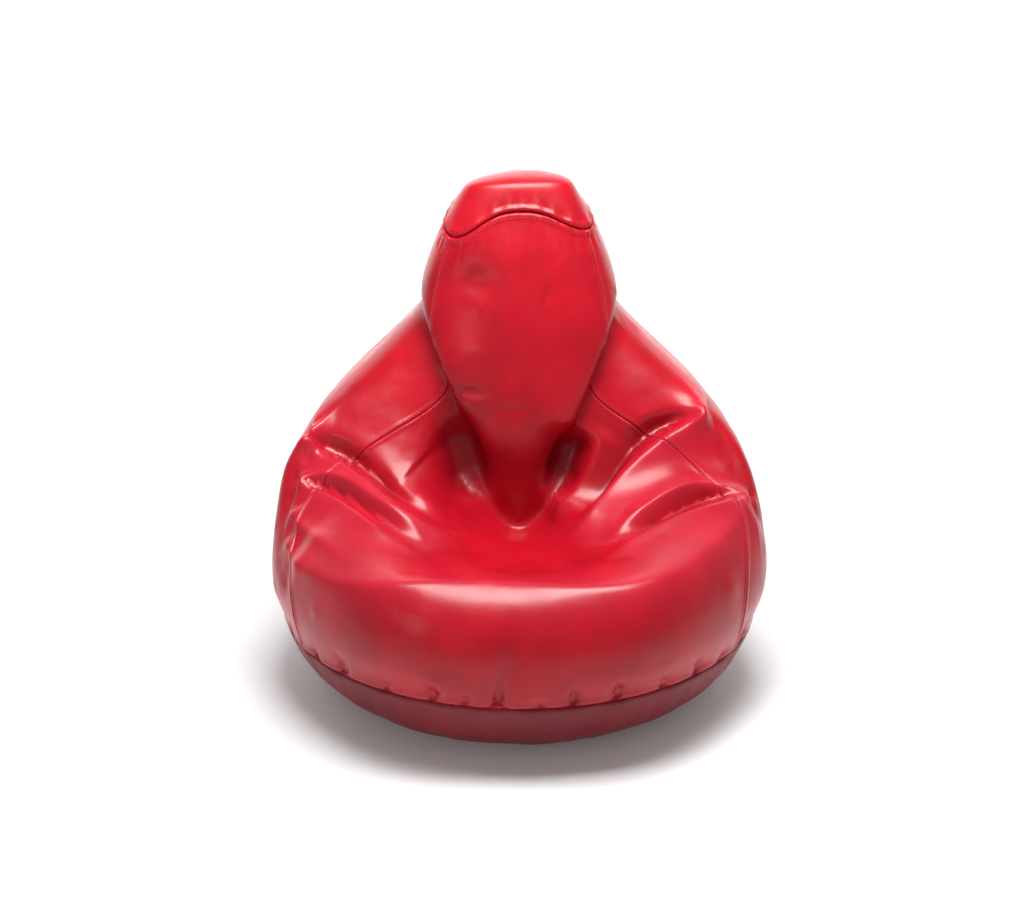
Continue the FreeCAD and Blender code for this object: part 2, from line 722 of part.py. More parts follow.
liner_radius = contact_radius + math.sqrt((bend_radius - size("corner_setback")) ** 2
                                          - (bend_radius - liner_floor) ** 2)


def liner_half(label, side):
    """Half of the liner base, from the zip to the round edge of the liner."""
    body = doc.addObject("PartDesign::Body", label)
    sketch = new_sketch(body, label + "_outline", "XY_Plane")
    spread = math.acos(zip_edge / liner_radius)
    middle = side * math.pi / 2
    circle = Part.Circle(Vector(), Vector(0, 0, 1), liner_radius)
    arc = Part.ArcOfCircle(circle, middle - spread, middle + spread)
    sketch.addGeometry(arc)
    sketch.addGeometry(Part.LineSegment(arc.EndPoint, arc.StartPoint))
    join_ends(sketch, 2)
    sketch.addConstraint(Sketcher.Constraint("Coincident", 0, 3, -1, 1))
    sketch.addConstraint(Sketcher.Constraint("Horizontal", 1))
    round_edge = f"{FLOOR_SIDE} + sqrt((Sizes.base_bend_radius - Sizes.corner_setback) ^ 2" \
                 " - (Sizes.base_bend_radius - Sizes.liner_floor) ^ 2)"
    add_constraint(sketch, "round_edge", Sketcher.Constraint("Radius", 0, liner_radius), round_edge)
    ends = (1, 1, -1, 1) if side < 0 else (-1, 1, 1, 1)
    add_constraint(sketch, "zip_edge", Sketcher.Constraint("DistanceY", *ends, zip_edge), ZIP_EDGE)
    pad = body.newObject("PartDesign::Pad", label + "_cloth")
    pad.Profile = sketch
    bind(pad, Length="Sizes.liner_thickness")
    doc.recompute()
    return keep(body, label, FreeCAD.Placement(LIFT * (liner_floor - liner_cloth), FreeCAD.Rotation()))


def liner_strip(label, side):
    """A straight zip tape under one edge of the liner base."""
    tape_top = zip_levels(liner_cloth)[0]
    low = tape_edge if side > 0 else -size("tape_width")
    strip = doc.addObject("Part::Box", label)
    bind(strip, Length="Sizes.liner_zip_length", Width="Sizes.tape_width - Sizes.coil_gap / 2",
         Height="Sizes.tape_thickness")
    corner = Vector(-size("liner_zip_length") / 2, low, liner_floor - liner_cloth - tape_top)
    return keep(strip, label, FreeCAD.Placement(corner, FreeCAD.Rotation()))


def liner_coil(label, side):
    """One row of the liner zip's coil."""
    y = side * (size("coil_gap") / 2 + size("coil_radius"))
    coil = doc.addObject("Part::Cylinder", label)
    bind(coil, Radius="Sizes.coil_radius", Height="Sizes.liner_zip_length")
    start = Vector(-size("liner_zip_length") / 2, y, liner_floor - liner_cloth - zip_levels(liner_cloth)[2])
    return keep(coil, label, FreeCAD.Placement(start, FreeCAD.Rotation(Vector(0, 1, 0), 90)))


for name, side in (("front", -1), ("rear", 1)):
    liner_half(f"liner_base_{name}", side)
    liner_strip(f"liner_zip_tape_{name}", side)
    liner_coil(f"liner_zip_coil_{name}", side)
stop_x = size("liner_zip_length") / 2 + size("stop_length") / 2 + size("soft_clearance")
end_stops("liner_zip_end_stops", liner_cloth,
          [("_left", liner_placement(-stop_x)), ("_right", liner_placement(stop_x))])
park_x = size("liner_zip_length") / 2 - size("slider_length") / 2 - size("soft_clearance")
slider("liner_zip_slider", liner_cloth, liner_placement(-park_x), False)


# --------------------------------------------------------------------- grab loop
def back_line():
    """Where the grab loop hangs: the top of the back panel, and the lean of the panel below."""
    top = skin.point(skin.top, 180)
    samples = [skin.point(skin.top * (1 - step / 100), 180) for step in range(1, 60)]
    below = [point for point in samples if (point - top).Length <= size("strap_drop")]
    lean = (below[-1] - top).normalize()
    normal = Vector(0, -lean.z, lean.y)
    bulge = max((point - top).dot(normal) for point in below)
    return top, lean, normal, bulge


loop_top, loop_lean, loop_normal, loop_bulge = back_line()
loop_reach = loop_bulge + size("strap_loop_radius") + size("anchor_thickness") + 2 * size("soft_clearance")
loop_axis = loop_top + loop_lean * size("strap_loop_radius") + loop_normal * loop_reach


def grab_loop():
    """A strap folded into a flat loop, hung by its sewn end."""
    body = doc.addObject("PartDesign::Body", "grab_loop")
    sketch = new_sketch(body, "strap_outline", "YZ_Plane")
    outer = size("strap_loop_radius")
    inner = outer - size("strap_thickness")
    drop = size("strap_drop") - outer
    up = Vector(0, 0, 1)
    top = Vector()
    bottom = Vector(0, -drop, 0)
    for ring, radius in enumerate((outer, inner)):
        sideways = Vector(radius, 0, 0)
        sketch.addGeometry(Part.ArcOfCircle(Part.Circle(top, up, radius), 0, math.pi))
        sketch.addGeometry(Part.LineSegment(top - sideways, bottom - sideways))
        sketch.addGeometry(Part.ArcOfCircle(Part.Circle(bottom, up, radius), math.pi, 2 * math.pi))
        sketch.addGeometry(Part.LineSegment(bottom + sideways, top + sideways))
        first = 4 * ring
        for step in range(4):
            following = first + (step + 1) % 4
            sketch.addConstraint(Sketcher.Constraint("Tangent", first + step, 2, following, 1))
        sketch.addConstraint(Sketcher.Constraint("Coincident", first, 3, -1, 1))
        sketch.addConstraint(Sketcher.Constraint("Vertical", first + 1))
    sketch.addConstraint(Sketcher.Constraint("Coincident", 2, 3, 6, 3))
    add_constraint(sketch, "outside", Sketcher.Constraint("Radius", 0, outer), "Sizes.strap_loop_radius")
    add_constraint(sketch, "inside", Sketcher.Constraint("Radius", 4, inner),
                   "Sizes.strap_loop_radius - Sizes.strap_thickness")
    add_constraint(sketch, "drop", Sketcher.Constraint("DistanceY", 2, 3, 0, 3, drop),
                   "Sizes.strap_drop - Sizes.strap_loop_radius")
    pad = body.newObject("PartDesign::Pad", "strap")
    pad.Profile = sketch
    pad.Midplane = True
    bind(pad, Length="Sizes.strap_width")
    doc.recompute()
    lean = math.degrees(math.atan2(loop_lean.y, -loop_lean.z))
    return keep(body, "grab_loop", FreeCAD.Placement(loop_axis, FreeCAD.Rotation(Vector(1, 0, 0), lean)))


def grab_loop_anchor():
    """The end of the strap, sewn flat to the back panel under the cap seam."""
    anchor = doc.addObject("Part::Box", "grab_loop_anchor")
    bind(anchor, Length="Sizes.strap_width", Width="Sizes.anchor_thickness", Height="Sizes.anchor_length")
    lean = math.degrees(math.atan2(loop_lean.y, -loop_lean.z))
    turn = FreeCAD.Rotation(Vector(1, 0, 0), lean)
    corner = turn.multVec(Vector(-size("strap_width") / 2, 0, -size("anchor_length")))
    start = loop_top + loop_lean + loop_normal * (loop_bulge + size("soft_clearance") / 2)
    return keep(anchor, "grab_loop_anchor", FreeCAD.Placement(start + corner, turn))


grab_loop()
grab_loop_anchor()


# ------------------------------------------------------------- check and write out
def check_document():
    """Stops on an object that failed to build."""
    doc.recompute()
    for thing in doc.Objects:
        if "Invalid" in thing.State or "Error" in thing.State:
            raise RuntimeError(f"{thing.Name} failed: {thing.State}")
    for label, thing in sub_parts.items():
        if thing.Shape.isNull() or not thing.Shape.isValid():
            raise RuntimeError(f"{label} has no valid shape")
        if not thing.Shape.Solids or thing.Shape.Volume <= 0:
            raise RuntimeError(f"{label} isn't solid")


check_document()
os.makedirs("parts", exist_ok=True)
for label, thing in sub_parts.items():
    thing.Shape.exportStep(f"parts/{label}.step")
    bounds = thing.Shape.BoundBox
    print(f"{label}: {len(thing.Shape.Solids)} solid(s), {thing.Shape.Volume / 1000:.1f} cm3, "
          f"z {bounds.ZMin:.1f} to {bounds.ZMax:.1f}")
pivot = wall_placement(zip_start + park_turn, pull_height(cover_cloth))
print("cover zip pull: pivot", pivot.Base, "axis", pivot.Rotation.multVec(Vector(0, 1, 0)))
print("cover zip travel:", size("zip_arc") - 2 * park_turn, "liner zip travel:", 2 * park_x)
print("grab loop axis:", loop_axis)
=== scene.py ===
import logging
import math
from collections.abc import Callable
from dataclasses import dataclass, field
from enum import Enum

import bmesh
import bpy
import numpy as np
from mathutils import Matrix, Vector


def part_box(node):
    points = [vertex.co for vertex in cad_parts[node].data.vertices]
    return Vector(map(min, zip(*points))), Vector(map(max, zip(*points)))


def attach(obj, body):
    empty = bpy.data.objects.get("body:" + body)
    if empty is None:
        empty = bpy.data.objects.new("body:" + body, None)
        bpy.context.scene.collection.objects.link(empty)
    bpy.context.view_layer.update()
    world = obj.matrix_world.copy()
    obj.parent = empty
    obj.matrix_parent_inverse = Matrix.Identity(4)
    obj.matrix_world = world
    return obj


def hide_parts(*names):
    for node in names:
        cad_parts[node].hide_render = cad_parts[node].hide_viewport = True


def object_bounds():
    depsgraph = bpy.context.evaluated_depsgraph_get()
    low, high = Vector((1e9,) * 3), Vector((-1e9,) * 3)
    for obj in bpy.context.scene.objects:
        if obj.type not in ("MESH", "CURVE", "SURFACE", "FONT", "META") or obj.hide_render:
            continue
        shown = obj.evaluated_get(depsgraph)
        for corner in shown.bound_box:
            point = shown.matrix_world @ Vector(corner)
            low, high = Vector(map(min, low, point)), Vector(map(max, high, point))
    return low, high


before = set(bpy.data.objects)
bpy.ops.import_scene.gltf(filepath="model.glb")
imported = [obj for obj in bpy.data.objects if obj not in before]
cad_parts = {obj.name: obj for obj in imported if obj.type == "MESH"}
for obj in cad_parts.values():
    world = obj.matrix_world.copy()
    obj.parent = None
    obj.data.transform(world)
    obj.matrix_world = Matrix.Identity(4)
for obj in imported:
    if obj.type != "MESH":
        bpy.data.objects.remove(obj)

CAD_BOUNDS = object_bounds()
LOG = logging.getLogger("bean_bag")
FULL_TURN = 360.0
MM = 0.001


# --------------------------------------------------------------------- finishes
def linear(hex_colour: str) -> tuple[float, float, float, float]:
    """Turns an sRGB hex colour into linear values.

    Args:
        hex_colour: six hex digits, such as "c81e32".

    Returns:
        Linear red, green and blue, and an alpha of 1.
    """
    values = [int(hex_colour[start:start + 2], 16) / 255 for start in (0, 2, 4)]
    curved = [v / 12.92 if v <= 0.04045 else ((v + 0.055) / 1.055) ** 2.4 for v in values]
    return (*curved, 1.0)


def add_node(tree: bpy.types.NodeTree, kind: str, links: dict | None = None, **settings) -> bpy.types.Node:
    """Adds a node with its settings and links.

    Args:
        tree: the node tree.
        kind: the node's type name.
        links: input name or index to the output socket that feeds it, or to a plain value.
        settings: attributes to set on the node.

    Returns:
        The new node.
    """
    node = tree.nodes.new(kind)
    for name, value in settings.items():
        setattr(node, name, value)
    for key, source in (links or {}).items():
        socket = node.inputs[key]
        if isinstance(source, bpy.types.NodeSocket):
            tree.links.new(source, socket)
        else:
            socket.default_value = source
    return node


def new_material(name: str) -> tuple[bpy.types.Material, bpy.types.NodeTree, bpy.types.Node]:
    """Makes an empty node material.

    Args:
        name: the material's name.

    Returns:
        The material, its tree, and its Principled shader.
    """
    material = bpy.data.materials.new(name)
    material.use_nodes = True
    tree = material.node_tree
    return material, tree, tree.nodes["Principled BSDF"]


@dataclass(frozen=True)
class Leatherette:
    """PVC faux leather, embossed with a fine pebble grain and given a satin top coat."""

    name: str
    colour: str
    deep_colour: str
    worn_colour: str
    roughness: float = 0.31
    coat: float = 0.12
    grain_size: float = 2.6 * MM
    grain_depth: float = 0.10 * MM
    ripple_size: float = 34 * MM
    ripple_depth: float = 1.1 * MM

    def make(self) -> bpy.types.Material:
        """Builds the material."""
        material, tree, shader = new_material(self.name)
        place = add_node(tree, "ShaderNodeTexCoord").outputs["Object"]
        # The dye is a little uneven over a hand's breadth, which keeps large panels from looking painted.
        cloud = add_node(tree, "ShaderNodeTexNoise", {"Vector": place, "Scale": 9.0, "Detail": 3.0})
        even = add_node(tree, "ShaderNodeMapRange",
                        {"Value": cloud.outputs["Fac"], "From Min": 0.35, "From Max": 0.65, "To Max": 0.35})
        dyed = add_node(tree, "ShaderNodeMix", {"Factor": even.outputs["Result"], 6: linear(self.colour),
                                                7: linear(self.deep_colour)}, data_type="RGBA")
        # Painted shade darkens the valleys of the folds towards the deep colour, and crests are rubbed a little
        # paler.
        relief = add_node(tree, "ShaderNodeAttribute", attribute_name="relief").outputs["Fac"]
        painted_valley_shade = add_node(tree, "ShaderNodeMapRange", {"Value": relief, "From Min": 0.0, "From Max": -26 * MM,
                                                       "To Max": 0.7})
        crest = add_node(tree, "ShaderNodeMapRange", {"Value": relief, "From Min": 2 * MM, "From Max": 14 * MM,
                                                      "To Max": 0.30})
        # The deep colour mixed in here is painted shade in the fold valleys.
        deep = add_node(tree, "ShaderNodeMix", {"Factor": painted_valley_shade.outputs["Result"], 6: dyed.outputs[2],
                                                7: linear(self.deep_colour)}, data_type="RGBA")
        worn = add_node(tree, "ShaderNodeMix", {"Factor": crest.outputs["Result"], 6: deep.outputs[2],
                                                7: linear(self.worn_colour)}, data_type="RGBA")
        tree.links.new(worn.outputs[2], shader.inputs["Base Color"])
        # The top coat is rubbed smoother in patches.
        patch = add_node(tree, "ShaderNodeTexNoise", {"Vector": place, "Scale": 22.0, "Detail": 4.0})
        gloss = add_node(tree, "ShaderNodeMapRange", {"Value": patch.outputs["Fac"], "From Min": 0.3,
                                                      "From Max": 0.7, "To Min": self.roughness - 0.04,
                                                      "To Max": self.roughness + 0.06})
        tree.links.new(gloss.outputs["Result"], shader.inputs["Roughness"])
        # Pebble grain, drawn at twice its real size so that it shows, over slow ripples of the soft sheet.
        grain = add_node(tree, "ShaderNodeTexVoronoi", {"Vector": place, "Scale": 1 / self.grain_size},
                         feature="SMOOTH_F1")
        ripple = add_node(tree, "ShaderNodeTexNoise", {"Vector": place, "Scale": 1 / self.ripple_size,
                                                       "Detail": 2.0, "Roughness": 0.45})
        slow = add_node(tree, "ShaderNodeBump", {"Height": ripple.outputs["Fac"], "Strength": 0.35,
                                                 "Distance": self.ripple_depth * 2})
        fine = add_node(tree, "ShaderNodeBump", {"Height": grain.outputs["Distance"], "Strength": 0.6,
                                                 "Distance": self.grain_depth, "Normal": slow.outputs["Normal"]})
        tree.links.new(fine.outputs["Normal"], shader.inputs["Normal"])
        shader.inputs["IOR"].default_value = 1.45
        shader.inputs["Specular IOR Level"].default_value = 0.36
        shader.inputs["Coat Weight"].default_value = self.coat
        shader.inputs["Coat Roughness"].default_value = 0.22
        return material


@dataclass(frozen=True)
class WovenTape:
    """Polyester tape in a herringbone weave: matt, with fine ribs along it."""

    name: str
    colour: str
    rib_spacing: float = 1.2 * MM

    def make(self) -> bpy.types.Material:
        """Builds the material."""
        material, tree, shader = new_material(self.name)
        place = add_node(tree, "ShaderNodeTexCoord").outputs["Object"]
        rib = add_node(tree, "ShaderNodeTexWave", {"Vector": place, "Scale": 0.314 / self.rib_spacing,
                                                   "Distortion": 0.6, "Detail": 1.0}, bands_direction="Z")
        shade = add_node(tree, "ShaderNodeMapRange", {"Value": rib.outputs["Fac"], "To Min": 0.75, "To Max": 1.0})
        mixed = add_node(tree, "ShaderNodeMix", {"Factor": shade.outputs["Result"], 6: (0.01, 0.0, 0.0, 1.0),
                                                 7: linear(self.colour)}, data_type="RGBA")
        tree.links.new(mixed.outputs[2], shader.inputs["Base Color"])
        bump = add_node(tree, "ShaderNodeBump", {"Height": rib.outputs["Fac"], "Strength": 0.5,
                                                 "Distance": 0.2 * MM})
        tree.links.new(bump.outputs["Normal"], shader.inputs["Normal"])
        shader.inputs["Roughness"].default_value = 0.85
        shader.inputs["Sheen Weight"].default_value = 0.3
        return material


@dataclass(frozen=True)
class Nylon:
    """Extruded or spun nylon, dyed: smooth with a soft shine."""

    name: str
    colour: str
    roughness: float = 0.42

    def make(self) -> bpy.types.Material:
        """Builds the material."""
        material, tree, shader = new_material(self.name)
        place = add_node(tree, "ShaderNodeTexCoord").outputs["Object"]
        tint = add_node(tree, "ShaderNodeTexNoise", {"Vector": place, "Scale": 60.0})
        mixed = add_node(tree, "ShaderNodeMix", {"Factor": tint.outputs["Fac"], 6: linear(self.colour),
                                                 7: tuple(0.8 * v for v in linear(self.colour)[:3]) + (1.0,)},
                         data_type="RGBA")
        tree.links.new(mixed.outputs[2], shader.inputs["Base Color"])
        shader.inputs["Roughness"].default_value = self.roughness
        return material


@dataclass(frozen=True)
class NickelPlate:
    """Die-cast zinc with a nickel plate: bright, with fine rubbed marks."""

    name: str

    def make(self) -> bpy.types.Material:
        """Builds the material."""
        material, tree, shader = new_material(self.name)
        place = add_node(tree, "ShaderNodeTexCoord").outputs["Object"]
        rub = add_node(tree, "ShaderNodeTexNoise", {"Vector": place, "Scale": 900.0, "Detail": 5.0})
        gloss = add_node(tree, "ShaderNodeMapRange", {"Value": rub.outputs["Fac"], "To Min": 0.18, "To Max": 0.42})
        tree.links.new(gloss.outputs["Result"], shader.inputs["Roughness"])
        shader.inputs["Base Color"].default_value = linear("c4c2bd")
        shader.inputs["Metallic"].default_value = 1.0
        return material


@dataclass(frozen=True)
class LinerCloth:
    """Spun-bonded polypropylene: white, matt, with an embossed dot pattern."""

    name: str

    def make(self) -> bpy.types.Material:
        """Builds the material."""
        material, tree, shader = new_material(self.name)
        place = add_node(tree, "ShaderNodeTexCoord").outputs["Object"]
        dots = add_node(tree, "ShaderNodeTexVoronoi", {"Vector": place, "Scale": 400.0, "Randomness": 0.2})
        bump = add_node(tree, "ShaderNodeBump", {"Height": dots.outputs["Distance"], "Strength": 0.4,
                                                 "Distance": 0.2 * MM})
        tree.links.new(bump.outputs["Normal"], shader.inputs["Normal"])
        shader.inputs["Base Color"].default_value = linear("e9e6df")
        shader.inputs["Roughness"].default_value = 0.9
        return material


@dataclass(frozen=True)
class FoamBeads:
    """Expanded polystyrene beads: white balls a few millimetres across."""

    name: str
    bead_size: float = 4 * MM

    def make(self) -> bpy.types.Material:
        """Builds the material."""
        material, tree, shader = new_material(self.name)
        place = add_node(tree, "ShaderNodeTexCoord").outputs["Object"]
        balls = add_node(tree, "ShaderNodeTexVoronoi", {"Vector": place, "Scale": 1 / self.bead_size})
        bump = add_node(tree, "ShaderNodeBump", {"Height": balls.outputs["Distance"], "Strength": 1.0,
                                                 "Distance": self.bead_size / 2}, invert=True)
        tree.links.new(bump.outputs["Normal"], shader.inputs["Normal"])
        shader.inputs["Base Color"].default_value = linear("f2f2f0")
        shader.inputs["Roughness"].default_value = 0.7
        return material


class Finish(Enum):
    """The finishes of the chair."""

    COVER = Leatherette("pvc_leatherette_satin_red", "b80b20", "6c0410", "cc2a44")
    # The base panel is the cover leatherette with its colours darkened as painted shade, for the shade under the
    # bag.
    BASE = Leatherette("pvc_leatherette_base_red_painted_shade", "7c1420", "4c0810", "8a3440", roughness=0.5, coat=0.05)
    TAPE = WovenTape("polyester_zip_tape_red", "9c1522")
    COIL = Nylon("nylon_zip_coil_red", "a8182a")
    THREAD = Nylon("polyester_thread_red", "d8506a", roughness=0.5)
    METAL = NickelPlate("nickel_plated_zinc")
    LINER = LinerCloth("spun_bonded_liner_white")
    BEADS = FoamBeads("polystyrene_beads_white")

    def material(self) -> bpy.types.Material:
        """Returns the finish's material, made once."""
        return bpy.data.materials.get(self.value.name) or self.value.make()


# ------------------------------------------------------------- smooth curves
def ring_spline(angles: np.ndarray, points: np.ndarray, wanted: np.ndarray) -> np.ndarray:
    """Runs a smooth closed curve through points round the chair.

    Args:
        angles: where the points lie, in degrees, rising from 0.
        points: one row for each point.
        wanted: the angles asked for.

    Returns:
        One row for each angle asked for.
    """
    count = len(angles)
    steps = np.diff(np.append(angles, angles[0] + FULL_TURN))
    closed = np.vstack([points, points[:1]])
    left = np.zeros((count, count))
    right = np.zeros((count, points.shape[1]))
    for i in range(count):
        before, after = steps[i - 1], steps[i]
        left[i, i - 1] += before
        left[i, i] += 2 * (before + after)
        left[i, (i + 1) % count] += after
        right[i] = 6 * ((closed[i + 1] - closed[i]) / after - (closed[i] - points[i - 1]) / before)
    bend = np.linalg.solve(left, right)
    bend = np.vstack([bend, bend[:1]])
    turned = np.mod(wanted, FULL_TURN)
    at = np.searchsorted(angles, turned, side="right") - 1
    past = (turned - angles[at])[:, None]
    step = steps[at][:, None]
    ahead = step - past
    return ((bend[at] * ahead ** 3 + bend[at + 1] * past ** 3) / (6 * step)
            + (closed[at] / step - bend[at] * step / 6) * ahead
            + (closed[at + 1] / step - bend[at + 1] * step / 6) * past)


def open_spline(knots: np.ndarray, values: np.ndarray, wanted: np.ndarray) -> np.ndarray:
    """Runs a smooth open curve through values.

    Args:
        knots: rising places of the values.
        values: an array whose first axis follows the knots.
        wanted: the places asked for.

    Returns:
        An array whose first axis follows the places asked for.
    """
    shape = values.shape[1:]
    flat = values.reshape(len(knots), -1)
    steps = np.diff(knots)
    left = np.eye(len(knots))
    right = np.zeros_like(flat)
    for i in range(1, len(knots) - 1):
        left[i, i - 1:i + 2] = steps[i - 1], 2 * (steps[i - 1] + steps[i]), steps[i]
        right[i] = 6 * ((flat[i + 1] - flat[i]) / steps[i] - (flat[i] - flat[i - 1]) / steps[i - 1])
    bend = np.linalg.solve(left, right)
    at = np.clip(np.searchsorted(knots, wanted, side="right") - 1, 0, len(knots) - 2)
    past = (wanted - knots[at])[:, None]
    step = steps[at][:, None]
    ahead = step - past
    result = ((bend[at] * ahead ** 3 + bend[at + 1] * past ** 3) / (6 * step)
              + (flat[at] / step - bend[at] * step / 6) * ahead
              + (flat[at + 1] / step - bend[at + 1] * step / 6) * past)
    return result.reshape(len(wanted), *shape)


def smooth_step(value: np.ndarray) -> np.ndarray:
    """Eases a value from 0 to 1."""
    held = np.clip(value, 0.0, 1.0)
    return held * held * (3 - 2 * held)


def bulge(gap: np.ndarray, width: float, middle: float = 0.0) -> np.ndarray:
    """A soft profile that is 1 at the middle of a gap and falls away over the width."""
    return np.exp(-((gap - middle) / width) ** 2)


# ------------------------------------------------------------ shape of the cover
@dataclass(frozen=True)
class Ring:
    """One level line of the cover.

    x is a share of the half width, y of the half depth and z of the height from
    the base seam to the crown.  bow says how far the line has turned back
    halfway from the front to the seam.
    """

    name: str
    front: tuple[float, float]
    bow: float
    seam: tuple[float, float, float]
    side: tuple[float, float, float]
    back: tuple[float, float]


@dataclass
class BagShape:
    """The taut shape of the filled cover, before any fold."""

    half_width: float = 0.450
    half_depth: float = 0.444
    seam_radius: float = 0.440
    seam_height: float = 0.135
    base_bend: float = 0.172
    straight_wall: float = 0.0201
    wall_rows: int = 3
    cap_crown: float = 0.026
    cap_slope: float = math.radians(5)
    seam_angle: float = 60.0
    side_angle: float = 100.0
    rear_angle: float = 140.0
    rings: tuple[Ring, ...] = (
        Ring("belly", (-0.997, 0.072), 0.21, (0.870, -0.515, 0.085), (1.000, 0.000, 0.085), (0.998, 0.093)),
        Ring("arm foot", (-0.957, 0.160), 0.18, (0.884, -0.425, 0.181), (0.993, 0.011, 0.201), (0.989, 0.234)),
        Ring("roll", (-0.811, 0.223), 0.16, (0.856, -0.255, 0.265), (0.949, 0.056, 0.329), (0.957, 0.375)),
        Ring("seat", (-0.541, 0.213), 0.19, (0.738, -0.090, 0.335), (0.858, 0.124, 0.426), (0.912, 0.503)),
        Ring("slope", (-0.225, 0.201), 0.26, (0.522, 0.022, 0.419), (0.636, 0.247, 0.542), (0.861, 0.619)),
        Ring("crease", (0.000, 0.192), 0.24, (0.293, 0.112, 0.516), (0.420, 0.348, 0.664), (0.809, 0.709)),
        Ring("tongue", (-0.034, 0.335), 0.26, (0.338, 0.124, 0.606), (0.405, 0.371, 0.724), (0.775, 0.773)),
        Ring("chin", (-0.011, 0.517), 0.26, (0.349, 0.146, 0.694), (0.380, 0.387, 0.791), (0.742, 0.835)),
        Ring("face", (0.067, 0.714), 0.25, (0.309, 0.191, 0.801), (0.332, 0.400, 0.860), (0.710, 0.890)),
        Ring("brow", (0.169, 0.876), 0.21, (0.253, 0.247, 0.905), (0.272, 0.416, 0.927), (0.670, 0.933)),
        Ring("cap seam", (0.247, 0.972), 0.21, (0.204, 0.303, 0.968), (0.222, 0.427, 0.959), (0.636, 0.946)),
    )
    halfway_share: tuple[float, float] = (0.58, 0.33)
    rear_share: tuple[float, float, float] = (0.74, 0.74, 0.62)

    def __post_init__(self) -> None:
        """Reads the overall sizes from the frame and prepares the level lines."""
        self.height = CAD_BOUNDS[1][2]
        self.wall_turn = math.acos(1 - self.seam_height / self.base_bend)
        self.contact_radius = self.seam_radius - self.base_bend * math.sin(self.wall_turn)
        self.ring_angles = self._ring_angles()
        wall = [self.straight_wall * row / self.wall_rows for row in range(self.wall_rows + 1)]
        rings = [self._wall_ring(along) for along in wall]
        rings += [self._ring_points(ring) for ring in self.rings]
        rings[-1][:, 2] = self._cap_height(rings[-1])
        self.ring_points = np.array(rings)
        chords = np.linalg.norm(np.diff(self.ring_points, axis=0), axis=2)
        self.stations = np.concatenate([[0.0], np.cumsum(np.sqrt(chords).mean(axis=1))])
        self.top = self.stations[-1]

    def _ring_angles(self) -> np.ndarray:
        """Where round the chair the points of a ring lie."""
        right = [self.seam_angle / 2, self.seam_angle, self.side_angle, self.rear_angle]
        return np.array([0.0, *right, 180.0, *(FULL_TURN - angle for angle in reversed(right))])

    def _wall_ring(self, along: float) -> np.ndarray:
        """A circle of the conical wall, this far above the base seam."""
        turn = np.radians(self.ring_angles)
        radius = self.seam_radius + along * math.cos(self.wall_turn)
        height = self.seam_height + along * math.sin(self.wall_turn)
        return np.stack([radius * np.sin(turn), -radius * np.cos(turn), np.full_like(turn, height)], axis=1)

    def _ring_points(self, ring: Ring) -> np.ndarray:
        """The points of a ring, from the front round by +X."""
        rise = self.height - self.seam_height

        def place(x: float, y: float, z: float) -> np.ndarray:
            """A point from its shares."""
            return np.array([x * self.half_width, y * self.half_depth, self.seam_height + z * rise])

        front, back = place(0, *ring.front), place(0, *ring.back)
        seam, side = place(*ring.seam), place(*ring.side)
        halfway = np.array([seam[0] * self.halfway_share[0], front[1] + (seam[1] - front[1]) * ring.bow,
                            front[2] + (seam[2] - front[2]) * self.halfway_share[1]])
        rear = np.array([side[0] * self.rear_share[0], side[1] + (back[1] - side[1]) * self.rear_share[1],
                         side[2] + (back[2] - side[2]) * self.rear_share[2]])
        right = [halfway, seam, side, rear]
        left = [point * (-1, 1, 1) for point in reversed(right)]
        return np.array([front, *right, back, *left])

    def cap_tilt(self, points: np.ndarray) -> np.ndarray:
        """How far the sloping cap seam lies over its own middle."""
        last = self.rings[-1]
        middle = (last.front[0] + last.back[0]) / 2 * self.half_depth
        return (middle - points[..., 1]) * math.tan(self.cap_slope)

    def _cap_height(self, points: np.ndarray) -> np.ndarray:
        """Height of the flat, sloping cap seam at these points of the plan."""
        return self.height - self.cap_crown + self.cap_tilt(points)

    def surface(self, shares: np.ndarray, angles: np.ndarray) -> np.ndarray:
        """Points of the taut surface.

        Args:
            shares: heights on the cover, from 0 to 1.
            angles: angles round the chair.

        Returns:
            An array with a row for each share, a column for each angle and x, y, z.
        """
        rings = np.array([ring_spline(self.ring_angles, ring, angles) for ring in self.ring_points])
        return open_spline(self.stations, rings, shares * self.top)


# ---------------------------------------------------------------- folds and dents
@dataclass(frozen=True)
class Fold:
    """A crease of the cover: a ridge, or with a negative rise a valley.

    The route's points are (angle, height share) pairs and the route runs with rising
    angle, or up the cover.  above and below are how far the fold takes to fall away on
    its left, which is towards the headrest, and on its right.  fade is the share of the
    route over which each end dies out.
    """

    name: str
    route: tuple[tuple[float, float], ...]
    rise: float
    above: float
    below: float
    sharp: float = 3 * MM
    fade: tuple[float, float] = (0.15, 0.25)


@dataclass(frozen=True)
class Dent:
    """A soft hollow of the cover, or with a negative depth a swelling; size is across and up."""

    name: str
    place: tuple[float, float]
    depth: float
    size: tuple[float, float]


